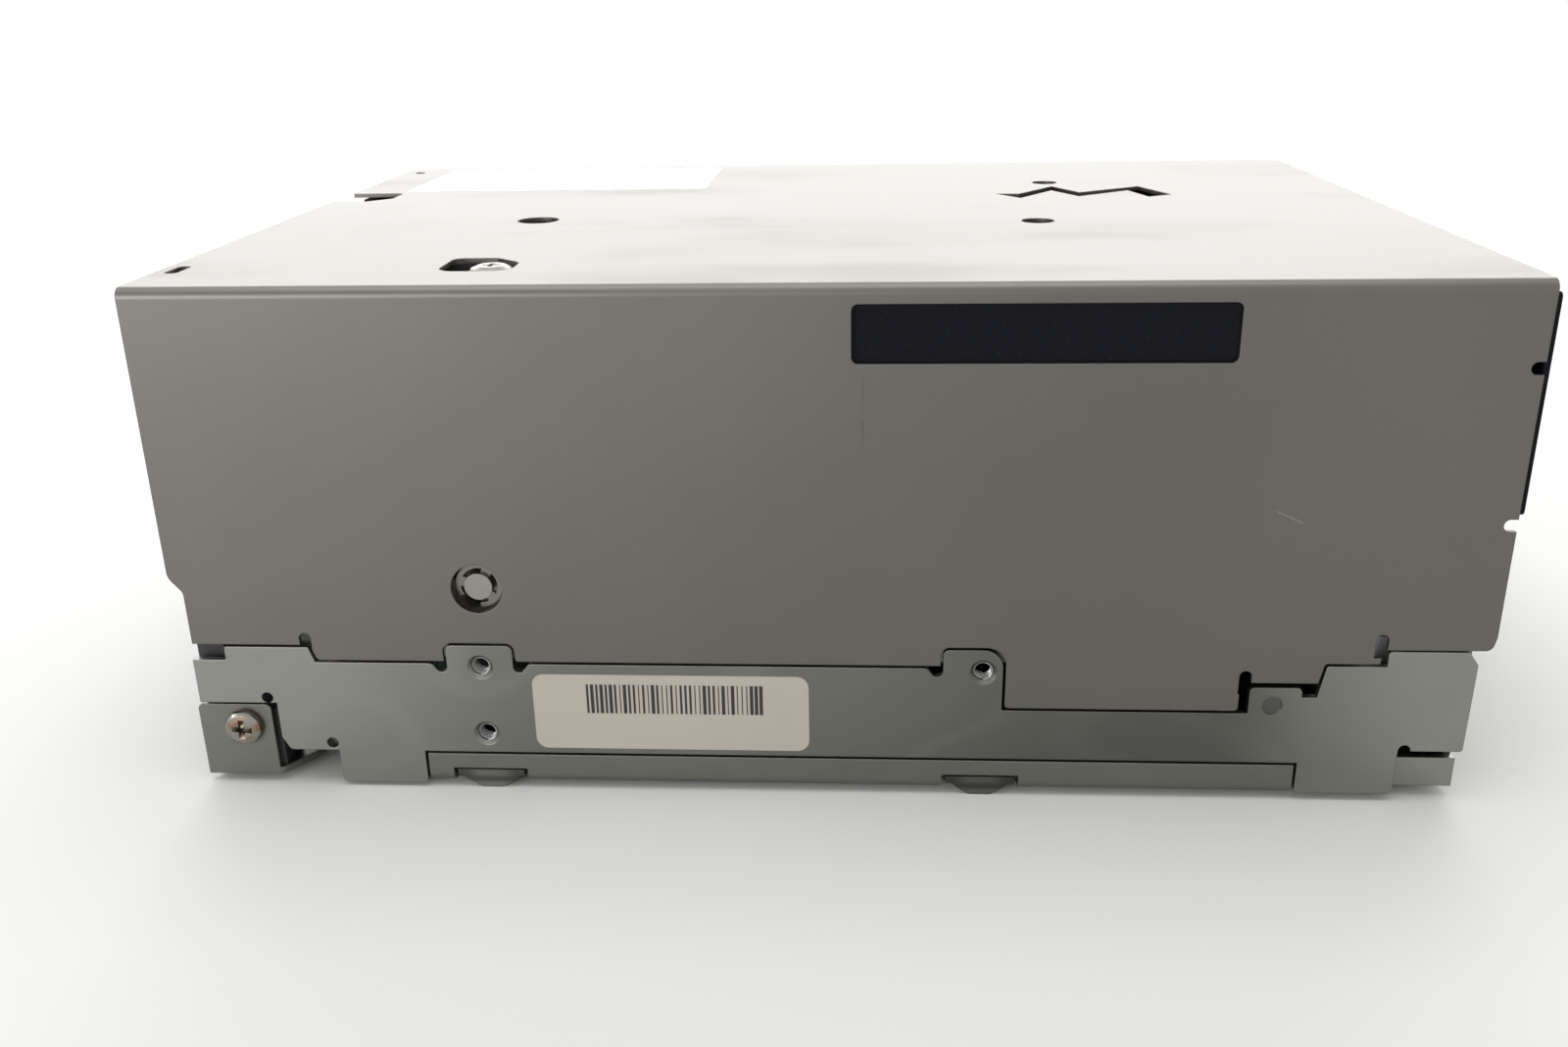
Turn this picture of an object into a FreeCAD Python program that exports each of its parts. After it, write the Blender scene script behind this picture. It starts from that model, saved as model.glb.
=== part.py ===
import FreeCAD, Part
import os
from math import atan2, cos, degrees, hypot, pi, radians, sin, tan

V = FreeCAD.Vector

# A full-height data tape drive for half-inch single-reel cartridges, millimetres.
# While it is modelled, X is 0 on the centre line, Y is 0 at the reference plane of the
# mounting holes at the front and grows to the rear, and Z is 0 on the mounting bosses.

# ---------------------------------------------------------------- overall sizes
WIDTH = 146.05            # over the side walls
HEIGHT = 82.5             # bosses to the top of the cover
COVER_FRONT = -1.0        # front edge of the cover
COVER_REAR = 203.1        # rear edge of the cover
COVER_T = 0.8             # cover sheet
BASE_T = 1.2              # base chassis sheet
PAN_T = 0.8               # bottom cover sheet
FOLD_R = 1.6              # outside radius of the sheet folds
SEAM = 0.45               # gap where two sheets meet edge to edge
INSULATOR_T = 0.9         # film on the rear, over the cover's turned-in lips
RELIEF_R = 0.95           # round end of the bend reliefs
CORNER_R = 1.5            # small outline corners

# ---------------------------------------------------------------- mounting holes
HOLE_Y1 = 47.4            # first column behind the reference plane
HOLE_STEP_Y = 79.24       # second column behind the first
HOLE_Z_LOW = 10.0
HOLE_Z_HIGH = 21.84
BOSS_INSET = 3.175        # bottom bosses in from the side faces, so 139.7 apart
SCREW_R = 1.5             # M3
COLLAR_R = 2.3            # extruded collar round a side hole
COLLAR_L = 2.0            # how far the collar stands in
BOSS_TIP_R = 3.35
BOSS_ROOT_R = 5.5

# ---------------------------------------------------------------- side outline of the cover
WAIST_Z = 36.9            # the cover's front edge steps back below this
WAIST_Y = 1.1
HEM_Z = 25.5              # hem beside the front corner
HEM_Y = 20.3
SKIRT_Z = 22.9            # hem along the middle
LOW_Z = 15.7              # hem over the rear half
LOW_Y1 = 130.1
LOW_Y2 = 165.9
DIMPLE_TAB_Y1 = 167.5
DIMPLE_TAB_Y2 = 175.4
DIMPLE_TAB_Z = 19.7
STEP_Y = 178.3
STEP_Z = 23.9
REAR_HEM_Y = 187.1
REAR_HEM_Z = 26.3
TAB_W = 10.6              # width of the tabs round the upper mounting holes
TAB_Z = 25.6              # their top
TAB_SLIT = 1.9            # bend relief beside each tab

# ---------------------------------------------------------------- window and round openings
WINDOW_Y1 = 106.2
WINDOW_Y2 = 160.9
WINDOW_Z2 = HEIGHT - 2.9
WINDOW_Z1 = WINDOW_Z2 - 8.7
PIVOT_Y = 48.1            # stub shaft of the loader gear
PIVOT_Z = 35.3
PIVOT_HOLE_R = 4.05

# ---------------------------------------------------------------- floor and bottom
FLOOR_Z = 2.0             # underside of the chassis floor
PAN_Z = 1.0               # underside of the bottom cover
PAN_Y1 = 37.3
PAN_Y2 = 175.5
PAN_TOP_Z = 6.2           # top of the bottom cover's flange
CHASSIS_FRONT = 0.7
CHASSIS_REAR = 201.0
WALL_Y1 = 22.6            # the side walls reach their lowest between these
WALL_Y2 = 191.0
WALL_Z = 0.7
TAIL_INSET = 2.8          # turned-up tail of the floor behind each side wall
TAIL_Z = 8.0
LEDGE_INSET = 6.5         # screw through the ledge beside each front bracket
LEDGE_Y = 18.6
LEDGE_Z = 6.6
LEDGE_SCREW_R = 1.0
PAN_SCREW_INSET = 13.0
PAN_SCREW_YS = (70.0, 160.0)
PAN_SCREW_R = 1.4

# ---------------------------------------------------------------- mechanism
BAY_X = 4.0               # centre line of the cartridge bay
CART_W = 102.0            # half-inch single-reel cartridge
CART_L = 105.4
CART_H = 21.5
CART_Y = 5.0              # front of a seated cartridge
CART_Z = 36.5             # underside of a seated cartridge
TAPE_W = 12.65
ROOF = 6.5                # from the top of the case down to the loader's top flanges
LOADER_TOP_Z = HEIGHT - ROOF
SLIDE_TRAVEL = 16.0       # how far the slotted slider moves to drop it
PLAY = 0.6                # side play round the cartridge
GAP = 0.6                 # side gap between tray, slider and side plates
SHEET = 1.0               # loader sheet parts
DECK_Z = 24.0             # underside of the deck plate
DECK_T = 3.0
REEL_X = 24.0             # take-up reel
REEL_Y = 155.0
REEL_R = 43.5
REEL_HUB_R = 20.0
REEL_FLANGE_T = 1.2
SHAFT_R = 2.5
RUNNING = 0.05            # radial clearance of a shaft in its bore
CLEAR = 0.3               # gap between parts that move past each other
HEAD_X = -55.3            # face of the head
HEAD_Y = 143.0
HEAD_TRAVEL = 5.0         # each way
ROLLER_R = 6.0
ROLLER_FLANGE_R = 7.2
ARM_X = -20.0             # pivot of the threader arm
ARM_Y = 141.0
ARM_R = 46.0              # pivot to leader block
ARM_HOME_DEG = 226.1      # direction of the arm at rest
ARM_SWEEP_DEG = 192.0     # how far it swings to the take-up hub
ARM_Z = 59.0
ARM_T = 2.0

SLIDER_ABOVE = 2.9        # slider's web over the raised tray
SLIDER_BELOW_TOP = 4.0    # and under the loader's top flanges
SLIDER_TOP = LOADER_TOP_Z - SLIDER_BELOW_TOP
TRAY_Z = SLIDER_TOP - SLIDER_ABOVE - SHEET - PLAY - CART_H   # underside of a cartridge in the raised tray
LIFT = TRAY_Z - CART_Z    # how far the tray drops to seat the cartridge
FRONT_REF = -(COVER_REAR + INSULATOR_T - COVER_FRONT) / 2 - COVER_FRONT
HALF_W = WIDTH / 2
INNER_X = HALF_W - COVER_T
BOSS_X = HALF_W - BOSS_INSET
TAIL_X = HALF_W - TAIL_INSET
LEDGE_X = HALF_W - LEDGE_INSET
PAN_SCREW_X = HALF_W - PAN_SCREW_INSET
HOLE_YS = (HOLE_Y1, HOLE_Y1 + HOLE_STEP_Y)


# ---------------------------------------------------------------- drawing helpers
def block(x1, x2, y1, y2, z1, z2):
    return Part.makeBox(x2 - x1, y2 - y1, z2 - z1, V(x1, y1, z1))


def rod(x, y, z, r, h, axis=V(0, 0, 1)):
    return Part.makeCylinder(r, h, V(x, y, z), axis)


def tube(x, y, z, r_out, r_in, h, axis=V(0, 0, 1)):
    return rod(x, y, z, r_out, h, axis).cut(rod(x, y, z, r_in, h, axis))


def join(shapes):
    whole = shapes[0]
    if len(shapes) > 1:
        whole = whole.multiFuse(shapes[1:])
    return whole.removeSplitter()


def outline(points):
    """Closed face in XY from (x, y) or (x, y, r) points; r rounds that corner."""
    count = len(points)
    ends = []
    for i in range(count):
        p = V(points[i][0], points[i][1], 0)
        r = points[i][2] if len(points[i]) > 2 else 0.0
        if r <= 0:
            ends.append((p, p, None))
            continue
        a = V(*points[i - 1][:2], 0) - p
        b = V(*points[(i + 1) % count][:2], 0) - p
        half = a.getAngle(b) / 2
        a.normalize()
        b.normalize()
        reach = r / tan(half)
        middle = (a + b).normalize()
        crown = p + middle * (r / sin(half) - r)
        ends.append((p + a * reach, p + b * reach, crown))
    edges = []
    for i in range(count):
        start, stop, crown = ends[i]
        if crown is not None:
            edges.append(Part.Arc(start, crown, stop).toShape())
        following = ends[(i + 1) % count][0]
        if stop.distanceToPoint(following) > 1e-6:
            edges.append(Part.LineSegment(stop, following).toShape())
    return Part.Face(Part.Wire(edges))


def plate_xy(points, z, t):
    face = outline(points)
    face.translate(V(0, 0, z))
    return face.extrude(V(0, 0, t))


def plate_yz(points, x, t):
    """Plate square to X: points are (y, z, r)."""
    face = outline(points)
    face.rotate(V(0, 0, 0), V(1, 1, 1), 120)
    face.translate(V(x, 0, 0))
    return face.extrude(V(t, 0, 0))


def plate_xz(points, y, t):
    """Plate square to Y: points are (x, z, r)."""
    face = outline(points)
    face.rotate(V(0, 0, 0), V(1, 0, 0), 90)
    face.translate(V(0, y + t, 0))
    return face.extrude(V(0, -t, 0))


def rect(a1, a2, b1, b2, r=0.0):
    return [(a1, b1, r), (a2, b1, r), (a2, b2, r), (a1, b2, r)]


def mirror_x(shape, x=0.0):
    return shape.mirror(V(x, 0, 0), V(1, 0, 0))


def both_sides(shape):
    return [shape, mirror_x(shape)]


def channel(x, z1, z2, t, r, y1, y2, legs_up):
    """Folded U of sheet along Y; the legs point up or down from the web."""
    if legs_up:
        outer = [(-x, z1, r), (x, z1, r), (x, z2), (-x, z2)]
        inner = [(-x + t, z1 + t, r - t), (x - t, z1 + t, r - t), (x - t, z2 + 1), (-x + t, z2 + 1)]
    else:
        outer = [(-x, z1), (x, z1), (x, z2, r), (-x, z2, r)]
        inner = [(-x + t, z1 - 1), (x - t, z1 - 1), (x - t, z2 - t, r - t), (-x + t, z2 - t, r - t)]
    return plate_xz(outer, y1, y2 - y1).cut(plate_xz(inner, y1 - 1, y2 - y1 + 2))


def gear_outline(teeth, module, thin=0.0):
    """Straight-flanked teeth; thin takes that much off each tooth's width."""
    pitch_r = teeth * module / 2
    points = []
    for i in range(teeth):
        middle = 2 * pi * i / teeth
        for r, share in ((pitch_r - 1.2 * module, -0.36), (pitch_r + module, -0.13),
                         (pitch_r + module, 0.13), (pitch_r - 1.2 * module, 0.36)):
            width = share * module * pi - (thin / 2 if share > 0 else -thin / 2)
            angle = middle + width / pitch_r
            points.append((r * cos(angle), r * sin(angle)))
    return points


def gear(teeth, module, face, bore_r, thin=0.0):
    body = plate_xy(gear_outline(teeth, module, thin), 0, face)
    return body.cut(rod(0, 0, -1, bore_r, face + 2)) if bore_r > 0 else body


def pan_screw(x, y, z, head_r, head_h, shank_r, shank_l, axis):
    """Pan head outwards along axis from the seat, with its shank the other way."""
    head = rod(x, y, z, head_r, head_h, axis)
    rim = [e for e in head.Edges if e.Curve.TypeId == "Part::GeomCircle"
           and e.CenterOfMass.sub(V(x, y, z)).dot(axis) > head_h / 2]
    head = head.makeFillet(head_h * 0.55, rim)
    return head.fuse(rod(x, y, z, shank_r, shank_l, axis * -1)).removeSplitter()


# ---------------------------------------------------------------- sheet-metal case
def upper_tab(hole_y):
    """Outline points of the notch in the cover's hem round a mounting tab."""
    reach = TAB_W / 2 + SEAM
    return [(hole_y - reach, SKIRT_Z), (hole_y - reach, TAB_Z + SEAM, CORNER_R),
            (hole_y + reach, TAB_Z + SEAM, CORNER_R)]


def cover_outline():
    first, second = HOLE_YS
    near = upper_tab(first)
    far = upper_tab(second - 0.9)
    return ([(COVER_FRONT, HEIGHT + 1), (COVER_FRONT, WAIST_Z, 2.5), (WAIST_Y, WAIST_Z - 2.5, 1.5),
             (WAIST_Y, HEM_Z), (HEM_Y, HEM_Z), (HEM_Y + 0.9, SKIRT_Z, 0.9)]
            + near + [(first + TAB_W / 2 + SEAM, SKIRT_Z, 0.5)]
            + far[:2] + [(LOW_Y1, TAB_Z + SEAM, 3.0), (LOW_Y1, LOW_Z, 0.6),
             (LOW_Y2, LOW_Z, 0.6), (LOW_Y2, DIMPLE_TAB_Z + SEAM + 0.4),
             (DIMPLE_TAB_Y2 + 2.2, DIMPLE_TAB_Z + SEAM + 0.4),
             (STEP_Y, STEP_Z, 0.6), (REAR_HEM_Y - 0.6, STEP_Z, 0.4), (REAR_HEM_Y - 0.6, REAR_HEM_Z),
             (COVER_REAR - 0.5, REAR_HEM_Z, 1.2), (COVER_REAR, REAR_HEM_Z + 2.2), (COVER_REAR, HEIGHT + 1)])


def make_top_cover():
    top = HEIGHT
    shell = channel(HALF_W, LOW_Z - 1, top, COVER_T, FOLD_R, COVER_FRONT, COVER_REAR, False)
    shell = shell.common(plate_yz(cover_outline(), -HALF_W - 1, WIDTH + 2))
    cuts = []
    for y, z in ((HEM_Y - 0.65, HEM_Z + 1.1), (LOW_Y2 + 0.7, LOW_Z + 5.9), (REAR_HEM_Y - 0.75, STEP_Z + 4.0)):
        cuts.append(rod(-HALF_W - 1, y, z, RELIEF_R, WIDTH + 2, V(1, 0, 0)))
        cuts.append(block(-HALF_W - 1, HALF_W + 1, y - RELIEF_R, y + RELIEF_R, z - 3.0, z))
    for z in (70.0, 46.5):
        cuts.append(block(-HALF_W - 1, HALF_W + 1, COVER_REAR - 1.0, COVER_REAR + 1,
                          z - RELIEF_R, z + RELIEF_R))
        cuts.append(rod(-HALF_W - 1, COVER_REAR - 1.0, z, RELIEF_R, WIDTH + 2, V(1, 0, 0)))
    cuts.append(plate_yz(rect(WINDOW_Y1, WINDOW_Y2, WINDOW_Z1, WINDOW_Z2, 1.0), HALF_W - 3, 6))
    cuts.append(rod(-HALF_W - 1, PIVOT_Y, PIVOT_Z, PIVOT_HOLE_R, WIDTH + 2, V(1, 0, 0)))
    cuts += top_openings()
    shell = shell.cut(Part.makeCompound(cuts))
    lips = []
    for side in (1, -1):
        x = side * (HALF_W - COVER_T)
        lip = block(min(x, x - side * 9), max(x, x - side * 9), COVER_REAR - COVER_T, COVER_REAR, 47.8, 68.7)
        lips.append(lip)
    hem = block(-HALF_W + 30, HALF_W - 30, COVER_REAR - COVER_T, COVER_REAR, top - 8, top - COVER_T / 2)
    return join([shell] + lips + [hem, notch_flange()])


NOTCH_X1 = -29.0          # notch for the display in the cover's front edge
NOTCH_X2 = -16.0
NOTCH_DEPTH = 11.0


def top_openings():
    z = HEIGHT - 3
    notch = plate_xy([(NOTCH_X1, COVER_FRONT - 1), (NOTCH_X2, COVER_FRONT - 1),
                      (NOTCH_X2, COVER_FRONT + NOTCH_DEPTH - 5.0),
                      (NOTCH_X2 - 5.0, COVER_FRONT + NOTCH_DEPTH),
                      (NOTCH_X1, COVER_FRONT + NOTCH_DEPTH, 1.5)], z, 6)
    screw_x = BAY_X + PLATE_IN - 4.5
    tool_hole = plate_xy([(screw_x - 4.3, 43.0, 2.0), (screw_x + 6.9, 43.0, 3.0), (screw_x + 6.9, 54.5, 3.0),
                          (screw_x - 0.3, 54.5, 3.0), (screw_x - 4.3, 50.0, 1.0)], z, 6)
    zigzag = plate_xy([(-19.0, 133.8), (-12.4, 138.2), (-23.0, 145.4), (-14.0, 149.8), (-22.0, 160.5),
                       (-12.5, 163.0), (-15.2, 168.0), (-28.0, 163.6), (-19.8, 150.6), (-29.4, 146.2),
                       (-18.6, 138.6)], z, 6)
    slots = [plate_xy(rect(HALF_W - 17.7, HALF_W - 11.6, 0.7, 2.8, 1.0), z, 6),
             plate_xy(rect(6.4 - HALF_W, 9.0 - HALF_W, 1.2, 3.4, 0.9), z, 6)]
    holes = [rod(10.8, 47.7, z, 3.8, 6), rod(-35.5, 145.4, z, 2.6, 6), rod(16.6, 138.4, z, 2.9, 6)]
    return [notch, tool_hole, zigzag] + slots + holes


def notch_flange():
    """Lip folded down at the back of the notch."""
    y = COVER_FRONT + NOTCH_DEPTH
    return block(NOTCH_X1 + 2, NOTCH_X2 - 6.0, y, y + COVER_T, HEIGHT - 6.0, HEIGHT - COVER_T / 2)


def base_outline():
    """Side wall of the base chassis in YZ."""
    first, second = HOLE_YS
    slit = TAB_W / 2 + TAB_SLIT
    points = [(CHASSIS_FRONT, 15.1), (13.4, 15.1), (13.4, 8.9, 0.3), (14.6, 6.6, 0.8), (WALL_Y1, 6.6),
              (WALL_Y1, WALL_Z, 1.0),
              (PAN_Y1 - SEAM, WALL_Z, 0.6), (PAN_Y1 - SEAM, PAN_TOP_Z + SEAM),
              (PAN_Y2 + SEAM, PAN_TOP_Z + SEAM),
              (PAN_Y2 + SEAM, 1.3, 0.6), (WALL_Y2, 1.3, 1.0), (WALL_Y2, 9.0), (CHASSIS_REAR - 0.2, 9.0, 0.5),
              (CHASSIS_REAR, STEP_Z, 0.8), (199.5, 26.0, 0.6), (REAR_HEM_Y + 0.5, 26.0, 0.6),
              (REAR_HEM_Y + 0.5, STEP_Z - SEAM), (STEP_Y + 0.4, STEP_Z - SEAM, 0.5),
              (STEP_Y - 0.6, DIMPLE_TAB_Z - 1.6),
              (DIMPLE_TAB_Y2, DIMPLE_TAB_Z - 1.6), (DIMPLE_TAB_Y2, DIMPLE_TAB_Z, 0.8),
              (DIMPLE_TAB_Y1, DIMPLE_TAB_Z, 0.8), (DIMPLE_TAB_Y1, LOW_Z - SEAM),
              (LOW_Y1 - SEAM, LOW_Z - SEAM)]
    points += [(LOW_Y1 - SEAM, TAB_Z, 3.0), (second - 0.9 - TAB_W / 2, TAB_Z, 0.9),
               (second - 0.9 - TAB_W / 2, 21.0, 0.9), (second - 0.9 - slit, 21.0, 0.9),
               (second - 0.9 - slit, SKIRT_Z - SEAM, 1.2)]
    points += [(first + slit, SKIRT_Z - SEAM, 1.2), (first + slit, 21.0, 0.9), (first + TAB_W / 2, 21.0, 0.9),
               (first + TAB_W / 2, TAB_Z, 0.9), (first - TAB_W / 2, TAB_Z, 0.9),
               (first - TAB_W / 2, 21.0, 0.9),
               (first - slit, 21.0, 0.9), (first - slit, SKIRT_Z - SEAM, 1.2)]
    points += [(HEM_Y + 0.9 - SEAM, SKIRT_Z - SEAM, 0.3), (HEM_Y - SEAM, HEM_Z - SEAM, 0.3),
               (6.2, HEM_Z - SEAM, 0.3),
               (6.2, 22.7, 0.3), (CHASSIS_FRONT, 22.7)]
    return points


def boss_hole_axes():
    return [(side * BOSS_X, y) for side in (1, -1) for y in HOLE_YS]


def make_base_chassis():
    channel_part = channel(HALF_W, FLOOR_Z, TAB_Z + 1, BASE_T, FOLD_R, CHASSIS_FRONT, CHASSIS_REAR, True)
    walls_below = [block(side * HALF_W - (BASE_T if side > 0 else 0),
                         side * HALF_W + (0 if side > 0 else BASE_T),
                         y1, y2, WALL_Z, FLOOR_Z + FOLD_R)
                   for side in (1, -1) for y1, y2 in ((WALL_Y1, PAN_Y1 - SEAM), (PAN_Y2 + SEAM, WALL_Y2))]
    shell = channel_part.fuse(walls_below)
    keep = plate_yz(base_outline(), -HALF_W - 1, WIDTH + 2)
    keep = keep.fuse(block(-HALF_W + FOLD_R, HALF_W - FOLD_R, WALL_Y1, CHASSIS_REAR - 0.4, 0, 5))
    body = shell.common(keep)
    ears = [block(side * HALF_W - (9 if side > 0 else 0), side * HALF_W + (0 if side > 0 else 9),
                  14.8, WALL_Y1 - 0.6, LEDGE_Z, LEDGE_Z + BASE_T) for side in (1, -1)]
    ears = [ear.common(block(-HALF_W + 0.2, HALF_W - 0.2, 0, 30, 0, 30)) for ear in ears]
    tail = block(TAIL_X, TAIL_X + BASE_T, WALL_Y2 + 0.6, CHASSIS_REAR - 0.4, FLOOR_Z, TAIL_Z)
    tails = both_sides(tail)
    add = ears + tails
    opening = HALF_W - 19.0
    cuts = [plate_xy(rect(-opening, opening, PAN_Y1 - 1.3, PAN_Y2 + 0.5, 6.0), FLOOR_Z - 1, 4)]
    cuts.append(plate_xy(rect(14 - opening, opening - 14, 24, 30, 2.0), FLOOR_Z - 1, 4))
    for x, y in boss_hole_axes():
        cone = Part.makeCone(BOSS_TIP_R, BOSS_ROOT_R, FLOOR_Z, V(x, y, 0))
        side = 1 if x > 0 else -1
        lobe = block(min(x, side * (HALF_W - 0.2)), max(x, side * (HALF_W - 0.2)),
                     y - BOSS_ROOT_R, y + BOSS_ROOT_R,
                     FLOOR_Z, FLOOR_Z + BASE_T)
        add += [cone, lobe]
        cuts.append(rod(x, y, -1, SCREW_R, FLOOR_Z + 4))
        cuts.append(block(min(side * (HALF_W - 0.2), side * (HALF_W + 7)),
                          max(side * (HALF_W - 0.2), side * (HALF_W + 7)),
                          y - BOSS_ROOT_R - 0.8, y + BOSS_ROOT_R + 0.8, -1, 3.9))
    for side in (1, -1):
        for y, z in [(y, z) for y in HOLE_YS for z in (HOLE_Z_LOW, HOLE_Z_HIGH)]:
            if y > 100 and z < 15:
                continue
            inner = side * (HALF_W - BASE_T - COLLAR_L)
            add.append(rod(inner, y, z, COLLAR_R, COLLAR_L + BASE_T / 2, V(side, 0, 0)))
            cuts.append(rod(inner - side, y, z, SCREW_R, COLLAR_L + BASE_T + 2, V(side, 0, 0)))
            cuts.append(Part.makeCone(SCREW_R, SCREW_R + 0.6, 0.6, V(side * (HALF_W - 0.6), y, z),
                                      V(side, 0, 0)))
        cuts.append(rod(side * LEDGE_X, LEDGE_Y, 0, LEDGE_SCREW_R, 12))
        cuts += [rod(side * PAN_SCREW_X, y, 0, PAN_SCREW_R, 8) for y in PAN_SCREW_YS]
        cuts.append(rod(side * (HALF_W - 0.35), 171.1, 16.6, 1.55, 1, V(side, 0, 0)))
        cuts.append(rod(side * (HALF_W - 2), 12.0, 16.0, RELIEF_R, 4, V(side, 0, 0)))
        cuts.append(rod(side * (HALF_W - 2), 21.7, 7.9, RELIEF_R, 4, V(side, 0, 0)))
    body = join([body] + add)
    return body.cut(Part.makeCompound(cuts))


def make_bottom_cover():
    pan = channel(HALF_W, PAN_Z, PAN_TOP_Z, PAN_T, FOLD_R, PAN_Y1, PAN_Y2, True)
    cuts = [block(-INNER_X, INNER_X, PAN_Y1 - 1, PAN_Y2 + 1, FLOOR_Z - 0.1, PAN_TOP_Z + 1)]
    inner = HALF_W - 10.5
    outer = HALF_W + 7
    for x, y in boss_hole_axes():
        side = 1 if x > 0 else -1
        slot = [(side * inner, y - BOSS_ROOT_R - 0.6, 2.0), (side * outer, y - BOSS_ROOT_R - 0.6),
                (side * outer, y + BOSS_ROOT_R + 0.6), (side * inner, y + BOSS_ROOT_R + 0.6, 2.0)]
        cuts.append(plate_xy(slot, -1, 4.6))
    for x in (-PAN_SCREW_X, PAN_SCREW_X):
        for y in PAN_SCREW_YS:
            cuts.append(rod(x, y, 0, PAN_SCREW_R + 0.2, 4))
    vents = [plate_xy(rect(x - 1.5, x + 1.5, y - 9, y + 9, 1.49), 0, 4)
             for x in range(-35, 36, 10) for y in (75, 105, 135)]
    return pan.cut(Part.makeCompound(cuts + vents))


def make_pan_screws():
    screws = []
    for x in (-PAN_SCREW_X, PAN_SCREW_X):
        for y in PAN_SCREW_YS:
            head = rod(x, y, PAN_Z - 0.6, 2.6, 0.6)
            screws.append(head.fuse(rod(x, y, PAN_Z, PAN_SCREW_R, 3.6)).removeSplitter())
    return screws


BRACKET_T = 1.2
BRACKET_OUT = 0.9         # how far it lies inside the side faces


def make_front_bracket():
    x2 = HALF_W - BRACKET_OUT
    side = plate_yz([(-0.3, 1.4), (11.8, 1.4), (11.8, 14.3, 1.0), (-0.3, 14.3, 1.0)], x2 - BRACKET_T,
                    BRACKET_T)
    foot = plate_xy([(x2, 0.3), (x2, 12.2, 1.0), (x2 - 6.5, 16.5, 1.0), (x2 - 17.0, 16.5, 1.5),
                     (x2 - 17.0, 0.3, 1.5)],
                    1.4, BRACKET_T)
    bracket = join([side, foot])
    hole = rod(x2 - 3, 7.1, 10.4, 1.65, 5, V(1, 0, 0))
    foot_hole = rod(x2 - 11.0, 8.0, 0, 1.6, 4)
    return bracket.cut(Part.makeCompound([hole, foot_hole]))


def make_bracket_screws():
    x = HALF_W - BRACKET_OUT
    screw = pan_screw(x, 7.1, 10.4, 3.1, 1.6, 1.45, 5.5, V(1, 0, 0))
    return Part.makeCompound(both_sides(screw))


def make_ledge_screws():
    screw = pan_screw(LEDGE_X, LEDGE_Y, LEDGE_Z, 1.75, 1.9, LEDGE_SCREW_R, 3.2, V(0, 0, -1))
    return both_sides(screw)


# ---------------------------------------------------------------- front
SLOT_X1 = BAY_X - CART_W / 2 - 2.0
SLOT_X2 = BAY_X + CART_W / 2 + 2.0
SLOT_Z1 = TRAY_Z - 2.0
SLOT_Z2 = TRAY_Z + CART_H + 1.8
FRONT_Y = 0.6
FRONT_T = 2.4
DOOR_T = 1.6
DOOR_PIN_R = 1.2
DOOR_PIN_Z = SLOT_Z2 + 1.2
DOOR_PIN_Y = FRONT_Y + FRONT_T + 3.2
PANEL_X = 11.0 - HALF_W   # operator panel column
BUTTON_W = 9.0
BUTTON_H = 6.0
BUTTON_Z = 34.0
BUTTON_TRAVEL = 1.2
LENS_Z = 52.0


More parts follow.
